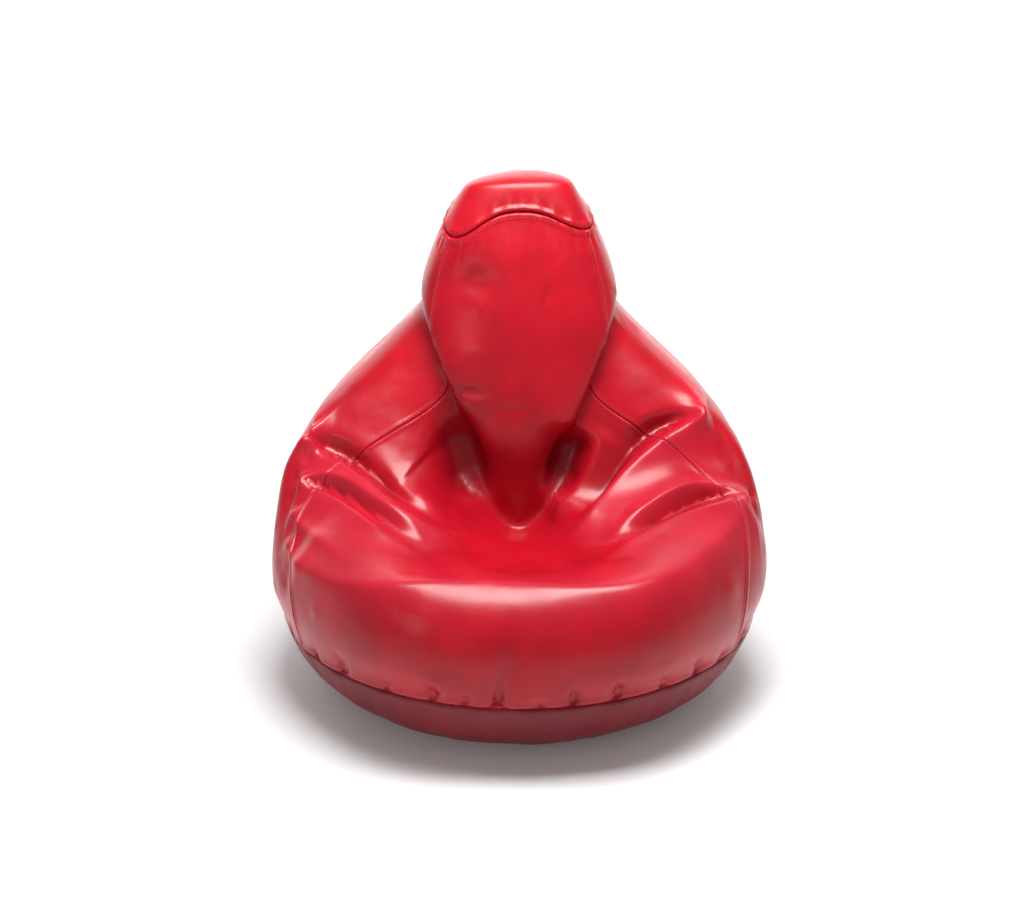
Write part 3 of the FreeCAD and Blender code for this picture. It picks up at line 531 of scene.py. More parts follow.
# Routes are in whole degrees and in shares rounded to half a hundredth, with only the points a fold needs.
SEAT_FOLDS = (
    Fold("seat_edge_left", ((-93, 0.395), (-73, 0.42), (-52, 0.435), (-33, 0.44), (-14, 0.48)),
         26 * MM, 22 * MM, 45 * MM, 4 * MM, (0.10, 0.25)),
    Fold("valley_left", ((-88, 0.41), (-68, 0.435), (-48, 0.465), (-28, 0.47)),
         -30 * MM, 30 * MM, 14 * MM, 6 * MM, (0.25, 0.35)),
    Fold("shoulder_left", ((-89, 0.415), (-73, 0.455), (-57, 0.475), (-41, 0.485), (-24, 0.505)),
         17 * MM, 50 * MM, 20 * MM, 12 * MM, (0.05, 0.2)),
    Fold("seat_edge_right", ((12, 0.48), (25, 0.49), (38, 0.51), (55, 0.50), (72, 0.48), (90, 0.45)),
         26 * MM, 22 * MM, 45 * MM, 4 * MM, (0.25, 0.10)),
    Fold("valley_right", ((17, 0.515), (34, 0.53), (52, 0.525), (69, 0.50), (86, 0.465)),
         -30 * MM, 30 * MM, 14 * MM, 6 * MM, (0.35, 0.25)),
    Fold("shoulder_right", ((52, 0.55), (64, 0.53), (77, 0.50), (89, 0.46)),
         15 * MM, 50 * MM, 15 * MM, 6 * MM, (0.4, 0.05)),
    Fold("neck_right", ((15, 0.56), (35, 0.57), (55, 0.56)),
         18 * MM, 22 * MM, 30 * MM, 10 * MM, (0.3, 0.3)),
    Fold("arm_left_upper", ((-71, 0.35), (-63, 0.385), (-54, 0.41), (-43, 0.42), (-32, 0.425), (-23, 0.415)),
         16 * MM, 20 * MM, 10 * MM, 3 * MM, (0.06, 0.35)),
    Fold("arm_left_lower", ((-70, 0.345), (-59, 0.37), (-47, 0.385), (-35, 0.385), (-24, 0.40)),
         16 * MM, 10 * MM, 35 * MM, 3 * MM, (0.06, 0.35)),
    Fold("arm_left_valley", ((-67, 0.36), (-54, 0.39), (-41, 0.405), (-28, 0.405)),
         -16 * MM, 9 * MM, 9 * MM, 4 * MM, (0.2, 0.45)),
    Fold("arm_right_upper", ((23, 0.43), (33, 0.44), (43, 0.435), (52, 0.415), (61, 0.37), (70, 0.32)),
         17 * MM, 25 * MM, 12 * MM, 3 * MM, (0.3, 0.05)),
    Fold("arm_right_lower", ((19, 0.405), (31, 0.40), (43, 0.385), (56, 0.35), (70, 0.315)),
         17 * MM, 12 * MM, 38 * MM, 3 * MM, (0.3, 0.05)),
    Fold("arm_right_valley", ((27, 0.415), (39, 0.415), (52, 0.39), (64, 0.345)),
         -18 * MM, 10 * MM, 10 * MM, 4 * MM, (0.4, 0.2)),
    Fold("front_roll", ((-60, 0.245), (-40, 0.265), (-20, 0.315), (0, 0.325), (22, 0.305), (45, 0.305), (69, 0.32)),
         17 * MM, 50 * MM, 42 * MM, 6 * MM, (0.05, 0.05)),
    Fold("arm_left_kink", ((-66, 0.31), (-58, 0.305), (-48, 0.31), (-37, 0.305)),
         9 * MM, 20 * MM, 12 * MM, 3 * MM, (0.1, 0.5)),
    Fold("arm_left_nip", ((-66, 0.265), (-59, 0.25), (-52, 0.245)),
         8 * MM, 14 * MM, 14 * MM, 3 * MM, (0.2, 0.5)),
    Fold("pocket_left", ((-58, 0.56), (-47, 0.59), (-35, 0.59), (-24, 0.575)),
         -30 * MM, 30 * MM, 42 * MM, 22 * MM, (0.4, 0.4)),
    Fold("pocket_right", ((22, 0.595), (30, 0.63), (39, 0.635), (48, 0.62)),
         -30 * MM, 30 * MM, 42 * MM, 22 * MM, (0.4, 0.4)),
)
CORNERS = (
    Dent("arm_corner_left", (-91, 0.395), -5 * MM, (22 * MM, 16 * MM)),
    Dent("arm_beak_left", (-70, 0.345), -4 * MM, (18 * MM, 12 * MM)),
    Dent("arm_knot_left", (-64, 0.31), -3 * MM, (14 * MM, 10 * MM)),
    Dent("arm_corner_right", (88, 0.455), -4 * MM, (22 * MM, 16 * MM)),
    Dent("arm_beak_right", (70, 0.315), -6 * MM, (20 * MM, 14 * MM)),
    Dent("brow_hollow", (-31, 0.87), 9 * MM, (40 * MM, 30 * MM)),
    Dent("brow_swell", (-24, 0.80), -3 * MM, (40 * MM, 26 * MM)),
    Dent("cheek_dent", (-29, 0.745), 4 * MM, (30 * MM, 9 * MM)),
    Dent("chin_dent", (-5, 0.755), 3 * MM, (26 * MM, 9 * MM)),
)


def base_pleats(seed: int = 4) -> list[Fold]:
    """Gathers where the cover is eased into the base seam: the front ones placed, the rest scattered."""
    dice = np.random.default_rng(seed)
    placed = ((-43, 0.11, 13), (-31, 0.06, 8), (-19, 0.10, 13), (-12, 0.08, 11), (-5, 0.17, 17), (4, 0.06, 8),
              (12, 0.12, 15), (22, 0.10, 14), (33, 0.07, 10), (44, 0.10, 11), (53, 0.07, 9), (-54, 0.08, 11))
    spots = [(angle, height, depth * MM) for angle, height, depth in placed]
    angle = 64.0
    while angle < FULL_TURN - 62:
        spots.append((angle, dice.uniform(0.05, 0.13), dice.uniform(5, 12) * MM))
        angle += dice.uniform(8, 15)
    pleats = []
    for angle, height, depth in spots:
        lean = dice.uniform(-2.5, 2.5)
        top = 1.35 * height
        route = ((angle, 0.0), (angle + lean / 3, top / 2), (angle + lean, top))
        pleats.append(Fold("pleat", route, -depth, 7 * MM, 11 * MM, 3 * MM, (0.01, 0.8)))
        pleats.append(Fold("pleat_edge", tuple((a + 2.6, h) for a, h in route), 0.2 * depth, 10 * MM, 16 * MM,
                           3 * MM, (0.01, 0.95)))
    return pleats


def cap_puckers(line: Callable[[np.ndarray], np.ndarray], seed: int = 9) -> list[Fold]:
    """Small tucks where the cover is eased into the cap seam, whose height share line gives."""
    dice = np.random.default_rng(seed)
    puckers = []
    angle = 0.0
    while angle < FULL_TURN:
        deep = 3.4 * MM if 25 < angle < 75 else 1.8 * MM
        depth = dice.uniform(0.5, 1.0) * deep
        top = float(line(np.array([angle]))[0])
        route = ((angle, top - 0.055), (angle + dice.uniform(-2, 2), top))
        puckers.append(Fold("pucker", route, -depth, 4 * MM, 5 * MM, 2 * MM, (0.7, 0.02)))
        angle += dice.uniform(6, 12)
    return puckers


def soft_creases(seed: int = 21, count: int = 90) -> list[Fold]:
    """Slight creases of a cover that has been sat in, scattered at random over the cover."""
    dice = np.random.default_rng(seed)
    creases = []
    for _ in range(count):
        angle, share = dice.uniform(-180, 180), dice.uniform(0.12, 0.9)
        reach, climb = dice.uniform(4, 12), dice.uniform(-0.05, 0.05)
        rise = dice.uniform(1.0, 2.4) * MM * dice.choice((-1, 1))
        route = ((angle, share), (angle + reach / 2, share + climb / 2 + 0.004), (angle + reach, share + climb))
        creases.append(Fold("crease", route, rise, 14 * MM, 9 * MM, 5 * MM, (0.5, 0.5)))
    return creases


@dataclass
class Grid:
    """The folded cover as rows from seam to seam and columns round the chair."""

    taut: np.ndarray
    taut_normals: np.ndarray
    points: np.ndarray
    normals: np.ndarray
    relief: np.ndarray
    shares: np.ndarray
    angles: np.ndarray
    breaks: list[int]


def grid_normals(points: np.ndarray) -> np.ndarray:
    """Outward normals of a grid of points whose last column meets its first."""
    closed = np.concatenate([points[:, -2:-1], points, points[:, 1:2]], axis=1)
    across = closed[:, 2:] - closed[:, :-2]
    upward = np.gradient(points, axis=0)
    normals = np.cross(across, upward)
    return normals / np.maximum(np.linalg.norm(normals, axis=2, keepdims=True), 1e-12)


@dataclass
class Cover:
    """The sewn cover: one smooth sheet of points that is folded and then cut into panels."""

    shape: BagShape = field(default_factory=BagShape)
    seams: tuple[float, ...] = (-120.0, -60.0, 60.0, 120.0)
    names: tuple[str, ...] = ("left", "front", "right", "back")
    column_spacing: tuple[float, ...] = (5.2 * MM, 4.2 * MM, 5.2 * MM, 8.0 * MM)
    row_spacing: float = 4.6 * MM
    seam_steps: tuple[float, ...] = (0.8 * MM, 1.8 * MM, 3.2 * MM, 5.2 * MM, 8.0 * MM)
    guide_columns: int = 720
    guide_rows: int = 900
    cap_line: tuple[tuple[float, float], ...] = ((0, 0.966), (25, 0.957), (50, 0.926), (80, 0.905),
                                                 (130, 0.930), (180, 0.955), (230, 0.930), (280, 0.900),
                                                 (310, 0.912), (335, 0.952))
    seam_groove: float = 1.5 * MM
    seam_swell: float = 1.1 * MM
    edge_groove: float = 2.0 * MM
    base_swell: float = 1.6 * MM
    cap_swell: float = 2.4 * MM
    edge_ease: float = 0.012
    folds: tuple[Fold, ...] = SEAT_FOLDS
    dents: tuple[Dent, ...] = CORNERS

    def _row_shares(self) -> np.ndarray:
        """Heights of the rows, evenly spaced along the cover from seam to seam."""
        trial = np.linspace(0, 1, 400)
        lines = self.shape.surface(trial, np.array([0.0, 30.0, 60.0, 100.0, 150.0, 180.0]))
        steps = np.linalg.norm(np.diff(lines, axis=0), axis=2)
        length = np.concatenate([[0.0], np.cumsum(0.6 * steps.max(axis=1) + 0.4 * steps.mean(axis=1))])
        count = round(length[-1] / self.row_spacing)
        return np.interp(np.linspace(0, length[-1], count + 1), length, trial)

    def _columns(self, guide_angles: np.ndarray, guide: np.ndarray) -> tuple[np.ndarray, list[int]]:
        """Angle of every column on every row, finer beside the seams.

        Args:
            guide_angles: angles of the guide surface's columns, from the first seam round to it again.
            guide: the guide surface.

        Returns:
            The angles, and the column at which each panel begins, with the last column added.
        """
        steps = np.linalg.norm(np.diff(guide, axis=1), axis=2)
        length = np.concatenate([np.zeros((len(guide), 1)), np.cumsum(steps, axis=1)], axis=1)
        edge = np.array([0.0, *self.seam_steps])
        ends = [*self.seams, self.seams[0] + FULL_TURN]
        parts = []
        breaks = [0]
        for start, end, spacing in zip(ends, ends[1:], self.column_spacing):
            first, last = np.searchsorted(guide_angles, (start, end))
            low, high = length[:, first], length[:, last]
            middle = max(8, round((high - low).max() / spacing))
            share = np.linspace(0, 1, middle + 1)[None, :]
            inner_low = (low + edge[-1])[:, None]
            inner_high = (high - edge[-1])[:, None]
            part = np.concatenate([low[:, None] + edge[None, :-1], inner_low + (inner_high - inner_low) * share,
                                   high[:, None] - edge[None, -2:0:-1]], axis=1)
            parts.append(part)
            breaks.append(breaks[-1] + part.shape[1])
        wanted = np.concatenate([*parts, length[:, -1:]], axis=1)
        angles = np.array([np.interp(row, known, guide_angles) for row, known in zip(wanted, length)])
        return angles, breaks

    def grid(self) -> Grid:
        """Builds the folded grid."""
        shares = self._row_shares()
        guide_angles = np.linspace(self.seams[0], self.seams[0] + FULL_TURN, self.guide_columns + 1)
        top = self.cap_share(guide_angles)
        lowered = shares[:, None] - (1 - top)[None, :] * smooth_step((shares[:, None] - 0.45) / 0.55)
        guide = self.between(lowered, guide_angles)
        angles, breaks = self._columns(guide_angles, guide)
        points = np.stack([[np.interp(row, guide_angles, line[:, axis]) for row, line in zip(angles, guide)]
                           for axis in range(3)], axis=2)
        normals = grid_normals(points)
        relief = np.zeros(points.shape[:2])
        for fold in (*self.folds, *base_pleats(), *cap_puckers(self.cap_share), *soft_creases()):
            self._add_fold(fold, points, normals, relief)
        for dent in self.dents:
            self._add_dent(dent, points, relief)
        relief = self._softened(relief)
        relief *= smooth_step(shares / self.edge_ease + 0.15)[:, None]
        relief *= smooth_step((1 - shares) / self.edge_ease + 0.1)[:, None]
        relief += self._seams(points, breaks)
        folded = points + normals * relief[..., None]
        return Grid(points, normals, folded, grid_normals(folded), relief, shares, angles, breaks)

    def _softened(self, relief: np.ndarray, passes: int = 1) -> np.ndarray:
        """Rounds the relief off, as a thick sheet does."""
        for _ in range(passes):
            wide = np.concatenate([relief[:, -2:-1], relief, relief[:, 1:2]], axis=1)
            relief = 0.25 * wide[:, :-2] + 0.5 * relief + 0.25 * wide[:, 2:]
            relief[1:-1] = 0.25 * relief[:-2] + 0.5 * relief[1:-1] + 0.25 * relief[2:]
        return relief

    def _seams(self, points: np.ndarray, breaks: list[int]) -> np.ndarray:
        """The groove of every seam, with the folded allowance swelling beside it."""
        relief = np.zeros(points.shape[:2])
        for at in breaks[:-1]:
            gap = np.linalg.norm(points - points[:, at:at + 1], axis=2)
            relief += self.seam_swell * bulge(gap, 3.2 * MM, 4.5 * MM)
            relief -= self.seam_groove * bulge(gap, 1.6 * MM)
        for edge, swell in ((0, self.base_swell), (-1, self.cap_swell)):
            gap = np.linalg.norm(points - points[edge], axis=2)
            relief += swell * bulge(gap, 4 * MM, 7 * MM)
            relief -= self.edge_groove * bulge(gap, 2.5 * MM)
        return relief

    def cap_share(self, angles: np.ndarray) -> np.ndarray:
        """Height share of the cap seam at these angles."""
        line = np.array(self.cap_line)
        return ring_spline(line[:, 0], line[:, 1:], angles)[:, 0]

    def between(self, shares: np.ndarray, angles: np.ndarray) -> np.ndarray:
        """Taut points whose height share differs from column to column."""
        steps = np.linspace(0, 1, self.guide_rows)
        dense = self.shape.surface(steps, angles)
        return np.stack([[np.interp(shares[:, c], steps, dense[:, c, axis]) for c in range(len(angles))]
                         for axis in range(3)], axis=2).transpose(1, 0, 2)

    def _route(self, fold: Fold) -> tuple[np.ndarray, np.ndarray]:
        """A fold's route as close points of the taut surface, and each one's share of the way."""
        knots = np.linspace(0, 1, len(fold.route))
        ways = np.linspace(0, 1, 160)
        spots = open_spline(knots, np.array(fold.route, float), ways)
        lines = self.shape.surface(spots[:, 1], spots[:, 0])
        return lines[np.arange(len(ways)), np.arange(len(ways))], ways

    def _add_fold(self, fold: Fold, points: np.ndarray, normals: np.ndarray, relief: np.ndarray) -> None:
        """Adds one fold to the relief."""
        route, ways = self._route(fold)
        reach = 4 * max(fold.above, fold.below)
        near = np.all((points > route.min(axis=0) - reach) & (points < route.max(axis=0) + reach), axis=2)
        spots, up = points[near], normals[near]
        gaps = np.linalg.norm(spots[:, None, :] - route[None, :, :], axis=2)
        at = gaps.argmin(axis=1)
        along = np.gradient(route, axis=0)[at]
        offset = spots - route[at]
        left = np.cross(up, along)
        side = np.sign(np.einsum("ij,ij->i", offset, left))
        gap = gaps[np.arange(len(at)), at]
        width = np.where(side > 0, fold.above, fold.below)
        body = np.exp(-(np.hypot(gap, fold.sharp) - fold.sharp) / width) * smooth_step(2 - 2 * gap / reach)
        way = ways[at]
        held = smooth_step(way / fold.fade[0]) * smooth_step((1 - way) / fold.fade[1])
        relief[near] += fold.rise * body * held

    def _add_dent(self, dent: Dent, points: np.ndarray, relief: np.ndarray) -> None:
        """Adds one dent to the relief."""
        angle, share = dent.place
        step = 0.002
        middle, beyond = self.shape.surface(np.array([share, share + step]), np.array([angle]))[:, 0]
        up = (beyond - middle) / np.linalg.norm(beyond - middle)
        offset = points - middle
        rise = offset @ up
        across = np.linalg.norm(offset - rise[..., None] * up, axis=2)
        relief -= dent.depth * np.exp(-(across / dent.size[0]) ** 2 - (rise / dent.size[1]) ** 2)


# ------------------------------------------------------------------------- meshes
def new_object(name: str, points: np.ndarray, faces: list, finish: Finish, smooth: bool = True) -> bpy.types.Object:
    """Makes a mesh object with one finish.

    Args:
        name: the piece's name.
        points: one row for each vertex.
        faces: lists of vertex numbers.
        finish: what it is made of.
        smooth: shade it smooth.

    Returns:
        The object.
    """
    mesh = bpy.data.meshes.new(name)
    mesh.from_pydata([tuple(point) for point in points], [], faces)
    mesh.update()
    mesh.polygons.foreach_set("use_smooth", [smooth] * len(mesh.polygons))
    mesh.materials.append(finish.material())
    thing = bpy.data.objects.new(name, mesh)
    bpy.context.scene.collection.objects.link(thing)
    return thing


def grid_faces(rows: int, columns: int, start: int = 0) -> list:
    """Quads of a grid whose vertices are numbered row by row."""
    corner = start + (np.arange(rows - 1)[:, None] * columns + np.arange(columns - 1)[None, :]).ravel()
    return np.stack([corner, corner + 1, corner + columns + 1, corner + columns], axis=1).tolist()


def band_faces(rows: int, columns: int) -> list:
    """Quads of a grid whose rows run right round, with vertices numbered row by row."""
    faces = []
    for row in range(rows - 1):
        low, high = row * columns, (row + 1) * columns
        for c in range(columns):
            d = (c + 1) % columns
            faces.append([low + c, low + d, high + d, high + c])
    return faces


def thinned(count: int, step: int) -> np.ndarray:
    """Every step-th number below count, with the last one."""
    picked = np.arange(0, count, step)
    return picked if picked[-1] == count - 1 else np.append(picked, count - 1)


def shell(name: str, front: np.ndarray, back: np.ndarray, finish: Finish, relief: np.ndarray,
          step: int = 3) -> bpy.types.Object:
    """A closed sheet with a fine front and a coarser back.

    Args:
        name: the piece's name.
        front: grid of the outer face.
        back: the same grid, moved to the inner face.
        finish: what it is made of.
        relief: height of each front point over the taut surface.
        step: one back point for this many front points each way.

    Returns:
        The object, with the relief as an attribute.
    """
    rows, columns = front.shape[:2]
    down, along = thinned(rows, step), thinned(columns, step)
    base = rows * columns
    faces = grid_faces(rows, columns)
    faces += [face[::-1] for face in grid_faces(len(down), len(along), base)]

    def front_at(row: int, column: int) -> int:
        """Number of a front point."""
        return row * columns + column

    def back_at(row: int, column: int) -> int:
        """Number of a back point."""
        return base + row * len(along) + column

    for i in range(len(along) - 1):
        low, high = along[i], along[i + 1]
        faces.append([back_at(0, i), back_at(0, i + 1), *(front_at(0, c) for c in range(high, low - 1, -1))])
        last = len(down) - 1
        faces.append([back_at(last, i + 1), back_at(last, i),
                      *(front_at(rows - 1, c) for c in range(low, high + 1))])
    for i in range(len(down) - 1):
        low, high = down[i], down[i + 1]
        last = len(along) - 1
        faces.append([back_at(i + 1, 0), back_at(i, 0), *(front_at(r, 0) for r in range(low, high + 1))])
        faces.append([back_at(i, last), back_at(i + 1, last),
                      *(front_at(r, columns - 1) for r in range(high, low - 1, -1))])
    points = np.concatenate([front.reshape(-1, 3), back[np.ix_(down, along)].reshape(-1, 3)])
    thing = new_object(name, points, [[int(v) for v in face] for face in faces], finish)
    heights = np.concatenate([relief.ravel(), relief[np.ix_(down, along)].ravel()])
    layer = thing.data.attributes.new("relief", "FLOAT", "POINT")
    layer.data.foreach_set("value", heights.astype(np.float32))
    return thing


@dataclass(frozen=True)
class Cut:
    """Size of a panel as it is cut from the roll, in metres and square metres."""

    width: float
    length: float
    area: float


@dataclass
class CoverPanels:
    """The cover cut into its sewn panels."""

    cuts: dict[str, Cut] = field(default_factory=lambda: {
        "front": Cut(1.03, 1.18, 0.68), "left": Cut(0.48, 0.97, 0.23), "right": Cut(0.48, 0.97, 0.23),
        "back": Cut(1.12, 0.86, 0.61)})
    cover: Cover = field(default_factory=Cover)
    thickness: float = 1.2 * MM
    zip_cover: float = 10.6 * MM

    def build(self) -> Grid:
        """Builds the four panels."""
        grid = self.cover.grid()
        for index, name in enumerate(self.cover.names):
            self._panel(grid, name, grid.breaks[index], grid.breaks[index + 1])
        LOG.info("cover panels: %d rows", len(grid.shares))
        return grid

    def _panel(self, grid: Grid, name: str, first: int, last: int) -> None:
        """One panel, from one seam to the next."""
        # The back panel starts above the cover zip, which is sewn in under its lower edge.
        climb = np.linalg.norm(grid.taut[:, first] - grid.taut[0, first], axis=1)
        bottom = int((climb > self.zip_cover).argmax()) if name == "back" else 0
        part = (slice(bottom, None), slice(first, last + 1))
        front = grid.points[part]
        normals = grid.normals[part]
        piece = shell(f"cover_{name}", front, front - normals * self.thickness, Finish.COVER, grid.relief[part])
        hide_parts(f"{name}_panel")
        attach(piece, "bag")
        LOG.info("cover_%s: %d faces", name, len(piece.data.polygons))


def wrapped_sheet(name: str, outer: np.ndarray, inner: np.ndarray, finish: Finish, relief: np.ndarray | None = None,
                  closed: bool = True) -> bpy.types.Object:
    """A closed sheet that runs all the way round.

    Args:
        name: the piece's name.
        outer: grid of the outer face; a row runs right round and rises to the last row.
        inner: the same grid, moved to the inner face.
        finish: what it is made of.
        relief: height of each outer point over the taut surface.
        closed: draw the last row together into a middle point; otherwise it gets a rim too.

    Returns:
        The object, with the relief as an attribute.
    """
    rows, columns = outer.shape[:2]
    base = rows * columns
    faces = band_faces(rows, columns)
    faces += [[base + corner for corner in reversed(face)] for face in faces]
    points = [outer.reshape(-1, 3), inner.reshape(-1, 3)]
    top = (rows - 1) * columns
    for c in range(columns):
        d = (c + 1) % columns
        faces.append([base + c, base + d, d, c])
        if closed:
            faces.append([top + c, top + d, 2 * base])
            faces.append([base + top + d, base + top + c, 2 * base + 1])
        else:
            faces.append([top + c, top + d, base + top + d, base + top + c])
    if closed:
        points += [outer[-1].mean(axis=0)[None], inner[-1].mean(axis=0)[None]]
    thing = new_object(name, np.concatenate(points), faces, finish)
    if relief is not None:
        heights = np.concatenate([relief.ravel(), relief.ravel(), np.zeros(2 if closed else 0)])
        layer = thing.data.attributes.new("relief", "FLOAT", "POINT")
        layer.data.foreach_set("value", heights.astype(np.float32))
    return thing


def turned_normals(points: np.ndarray) -> np.ndarray:
    """Outward normals of a grid whose rows run right round with no column twice."""
    closed = np.concatenate([points, points[:, :1]], axis=1)
    return grid_normals(closed)[:, :-1]


@dataclass
class HeadCap:
    """The crowned cap sewn over the top of the headrest."""

    thickness: float = 1.2 * MM
    crown: float = 26 * MM
    rows: int = 26
    side_rows: int = 14
    rounding: int = 26
    skew: float = 9 * MM
    roll: float = 3.2 * MM
    groove: float = 1.0 * MM
    profile: tuple[tuple[float, float], ...] = ((1.0, 0.0), (0.965, 0.20), (0.90, 0.40), (0.78, 0.62),
                                                (0.56, 0.84), (0.30, 0.97), (0.05, 1.0))

    def build(self, cover: Cover, grid: Grid) -> np.ndarray:
        """Builds the cap from the last row of the cover, up the head and over its crown.

        Args:
            cover: the cover it is sewn to.
            grid: the cover's folded grid.

        Returns:
            The cap's smooth grid, with every second column of the cover's.
        """
        angles = grid.angles[-1, :-1][::2]
        steps = np.linspace(0, 1, self.side_rows)[:, None]
        top = cover.cap_share(angles)[None, :]
        side = cover.between(top + (1 - top) * steps, angles)
        edge = side[-1]
        middle = (edge.min(axis=0) + edge.max(axis=0)) / 2
        ways = np.linspace(0, 1, self.rows)[1:]
        curve = open_spline(np.linspace(0, 1, len(self.profile)), np.array(self.profile), ways)
        rows = [*side]
        for spread, lift in curve:
            row = middle + (edge - middle) * spread
            row[:, 2] = edge[:, 2] * spread + middle[2] * (1 - spread) + lift * self.crown
            row[:, 0] += self.skew * lift
            row[:, 2] -= 0.6 * self.skew * lift * smooth_step((middle[0] - row[:, 0]) / 0.08)
            rows.append(row)
        taut = self._rounded(np.array(rows))
        taut[0] = grid.points[-1, :-1][::2]
        normals = turned_normals(taut)
        gap = np.linalg.norm(taut - taut[0], axis=2)
        relief = self.roll * bulge(gap, 4 * MM, 6 * MM) - self.groove * bulge(gap, 2 * MM)
        turned = np.radians(angles)
        tucks = np.sin(turned * 23 + 2 * np.sin(turned * 3)) * (0.7 + 0.9 * bulge(angles, 30, 55)) * MM
        relief += tucks[None, :] * bulge(gap, 13 * MM, 12 * MM)
        outer = taut + normals * relief[..., None]
        facing = turned_normals(outer)
        cap = wrapped_sheet("head_cap_cover", outer, outer - facing * self.thickness, Finish.COVER, relief)
        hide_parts("head_cap")
        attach(cap, "bag")
        LOG.info("head cap: %d faces", len(cap.data.polygons))
        return taut

    def _rounded(self, points: np.ndarray) -> np.ndarray:
        """Rounds the edge between the sides and the crown, and keeps its first row and its height."""
        height = points[..., 2].max()
        for _ in range(self.rounding):
            around = (np.roll(points, 1, axis=1) + np.roll(points, -1, axis=1)) / 2
            points[1:-1] = 0.5 * points[1:-1] + 0.4 * (points[:-2] + points[2:]) / 2 + 0.1 * around[1:-1]
            points[-1] = points[-2].mean(axis=0) + 0.5 * (points[-2] - points[-2].mean(axis=0))
        lift = smooth_step((points[..., 2] - points[0, :, 2].max()) / (height - points[0, :, 2].max()))
        points[..., 2] += lift * (height - points[..., 2].max())
        return points


@dataclass
class BaseCup:
    """The base panel: flat where it stands, then turned up to the base seam."""

    shape: BagShape
    thickness: float = 1.6 * MM
    swell: float = 1.4 * MM
    groove: float = 1.8 * MM
    gather: float = 1.3 * MM
    slack: float = 0.9 * MM
    columns: int = 480
    arc_rows: int = 30
    disc_rows: int = 12

    def build(self) -> bpy.types.Object:
        """Builds the base from the seam inwards."""
        turn = np.linspace(0, 2 * math.pi, self.columns, endpoint=False)
        bends = self.shape.wall_turn * np.linspace(1, 0, self.arc_rows)
        radii = [self.shape.contact_radius + self.shape.base_bend * math.sin(bend) for bend in bends]
        heights = [self.shape.base_bend * (1 - math.cos(bend)) for bend in bends]
        radii += list(np.linspace(self.shape.contact_radius, 0.004, self.disc_rows + 1)[1:])
        heights += [0.0] * self.disc_rows
        radii, heights = np.array(radii), np.array(heights)
        taut = np.stack([radii[:, None] * np.sin(turn), -radii[:, None] * np.cos(turn),
                         np.repeat(heights[:, None], self.columns, axis=1)], axis=2)
        up = np.zeros_like(taut)
        slope = np.concatenate([bends, np.zeros(self.disc_rows)])
        up[..., 0] = np.sin(slope)[:, None] * np.sin(turn)
        up[..., 1] = -np.sin(slope)[:, None] * np.cos(turn)
        up[..., 2] = -np.cos(slope)[:, None]
        down = np.linspace(0, 1, self.arc_rows)
        gather = np.concatenate([np.exp(-down / 0.25) * smooth_step(down / 0.06), np.zeros(self.disc_rows)])
        ease = np.sin(turn * 31 + 2.2 * np.sin(turn * 5)) + 0.6 * np.sin(turn * 53 + 1.3 * np.sin(turn * 7))
        slack = np.concatenate([np.sin(math.pi * down) ** 2, np.zeros(self.disc_rows)])
        broad = np.sin(turn * 9 + 1.1 * np.sin(turn * 4)) + 0.5 * np.sin(turn * 21)
        gap = np.linalg.norm(taut - taut[0], axis=2)
        relief = gather[:, None] * ease * self.gather + slack[:, None] * broad * self.slack
        relief += self.swell * bulge(gap, 3.5 * MM, 6 * MM) - self.groove * bulge(gap, 2.2 * MM)
        relief[self.arc_rows - 1:] = 0.0
        outer = taut + up * relief[..., None]
        cup = wrapped_sheet("base_cup", outer[:, ::-1], (outer - up * self.thickness)[:, ::-1], Finish.BASE,
                            relief[:, ::-1])
        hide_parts("base_panel")
        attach(cup, "bag")
        LOG.info("base cup: %d faces", len(cup.data.polygons))
        return cup


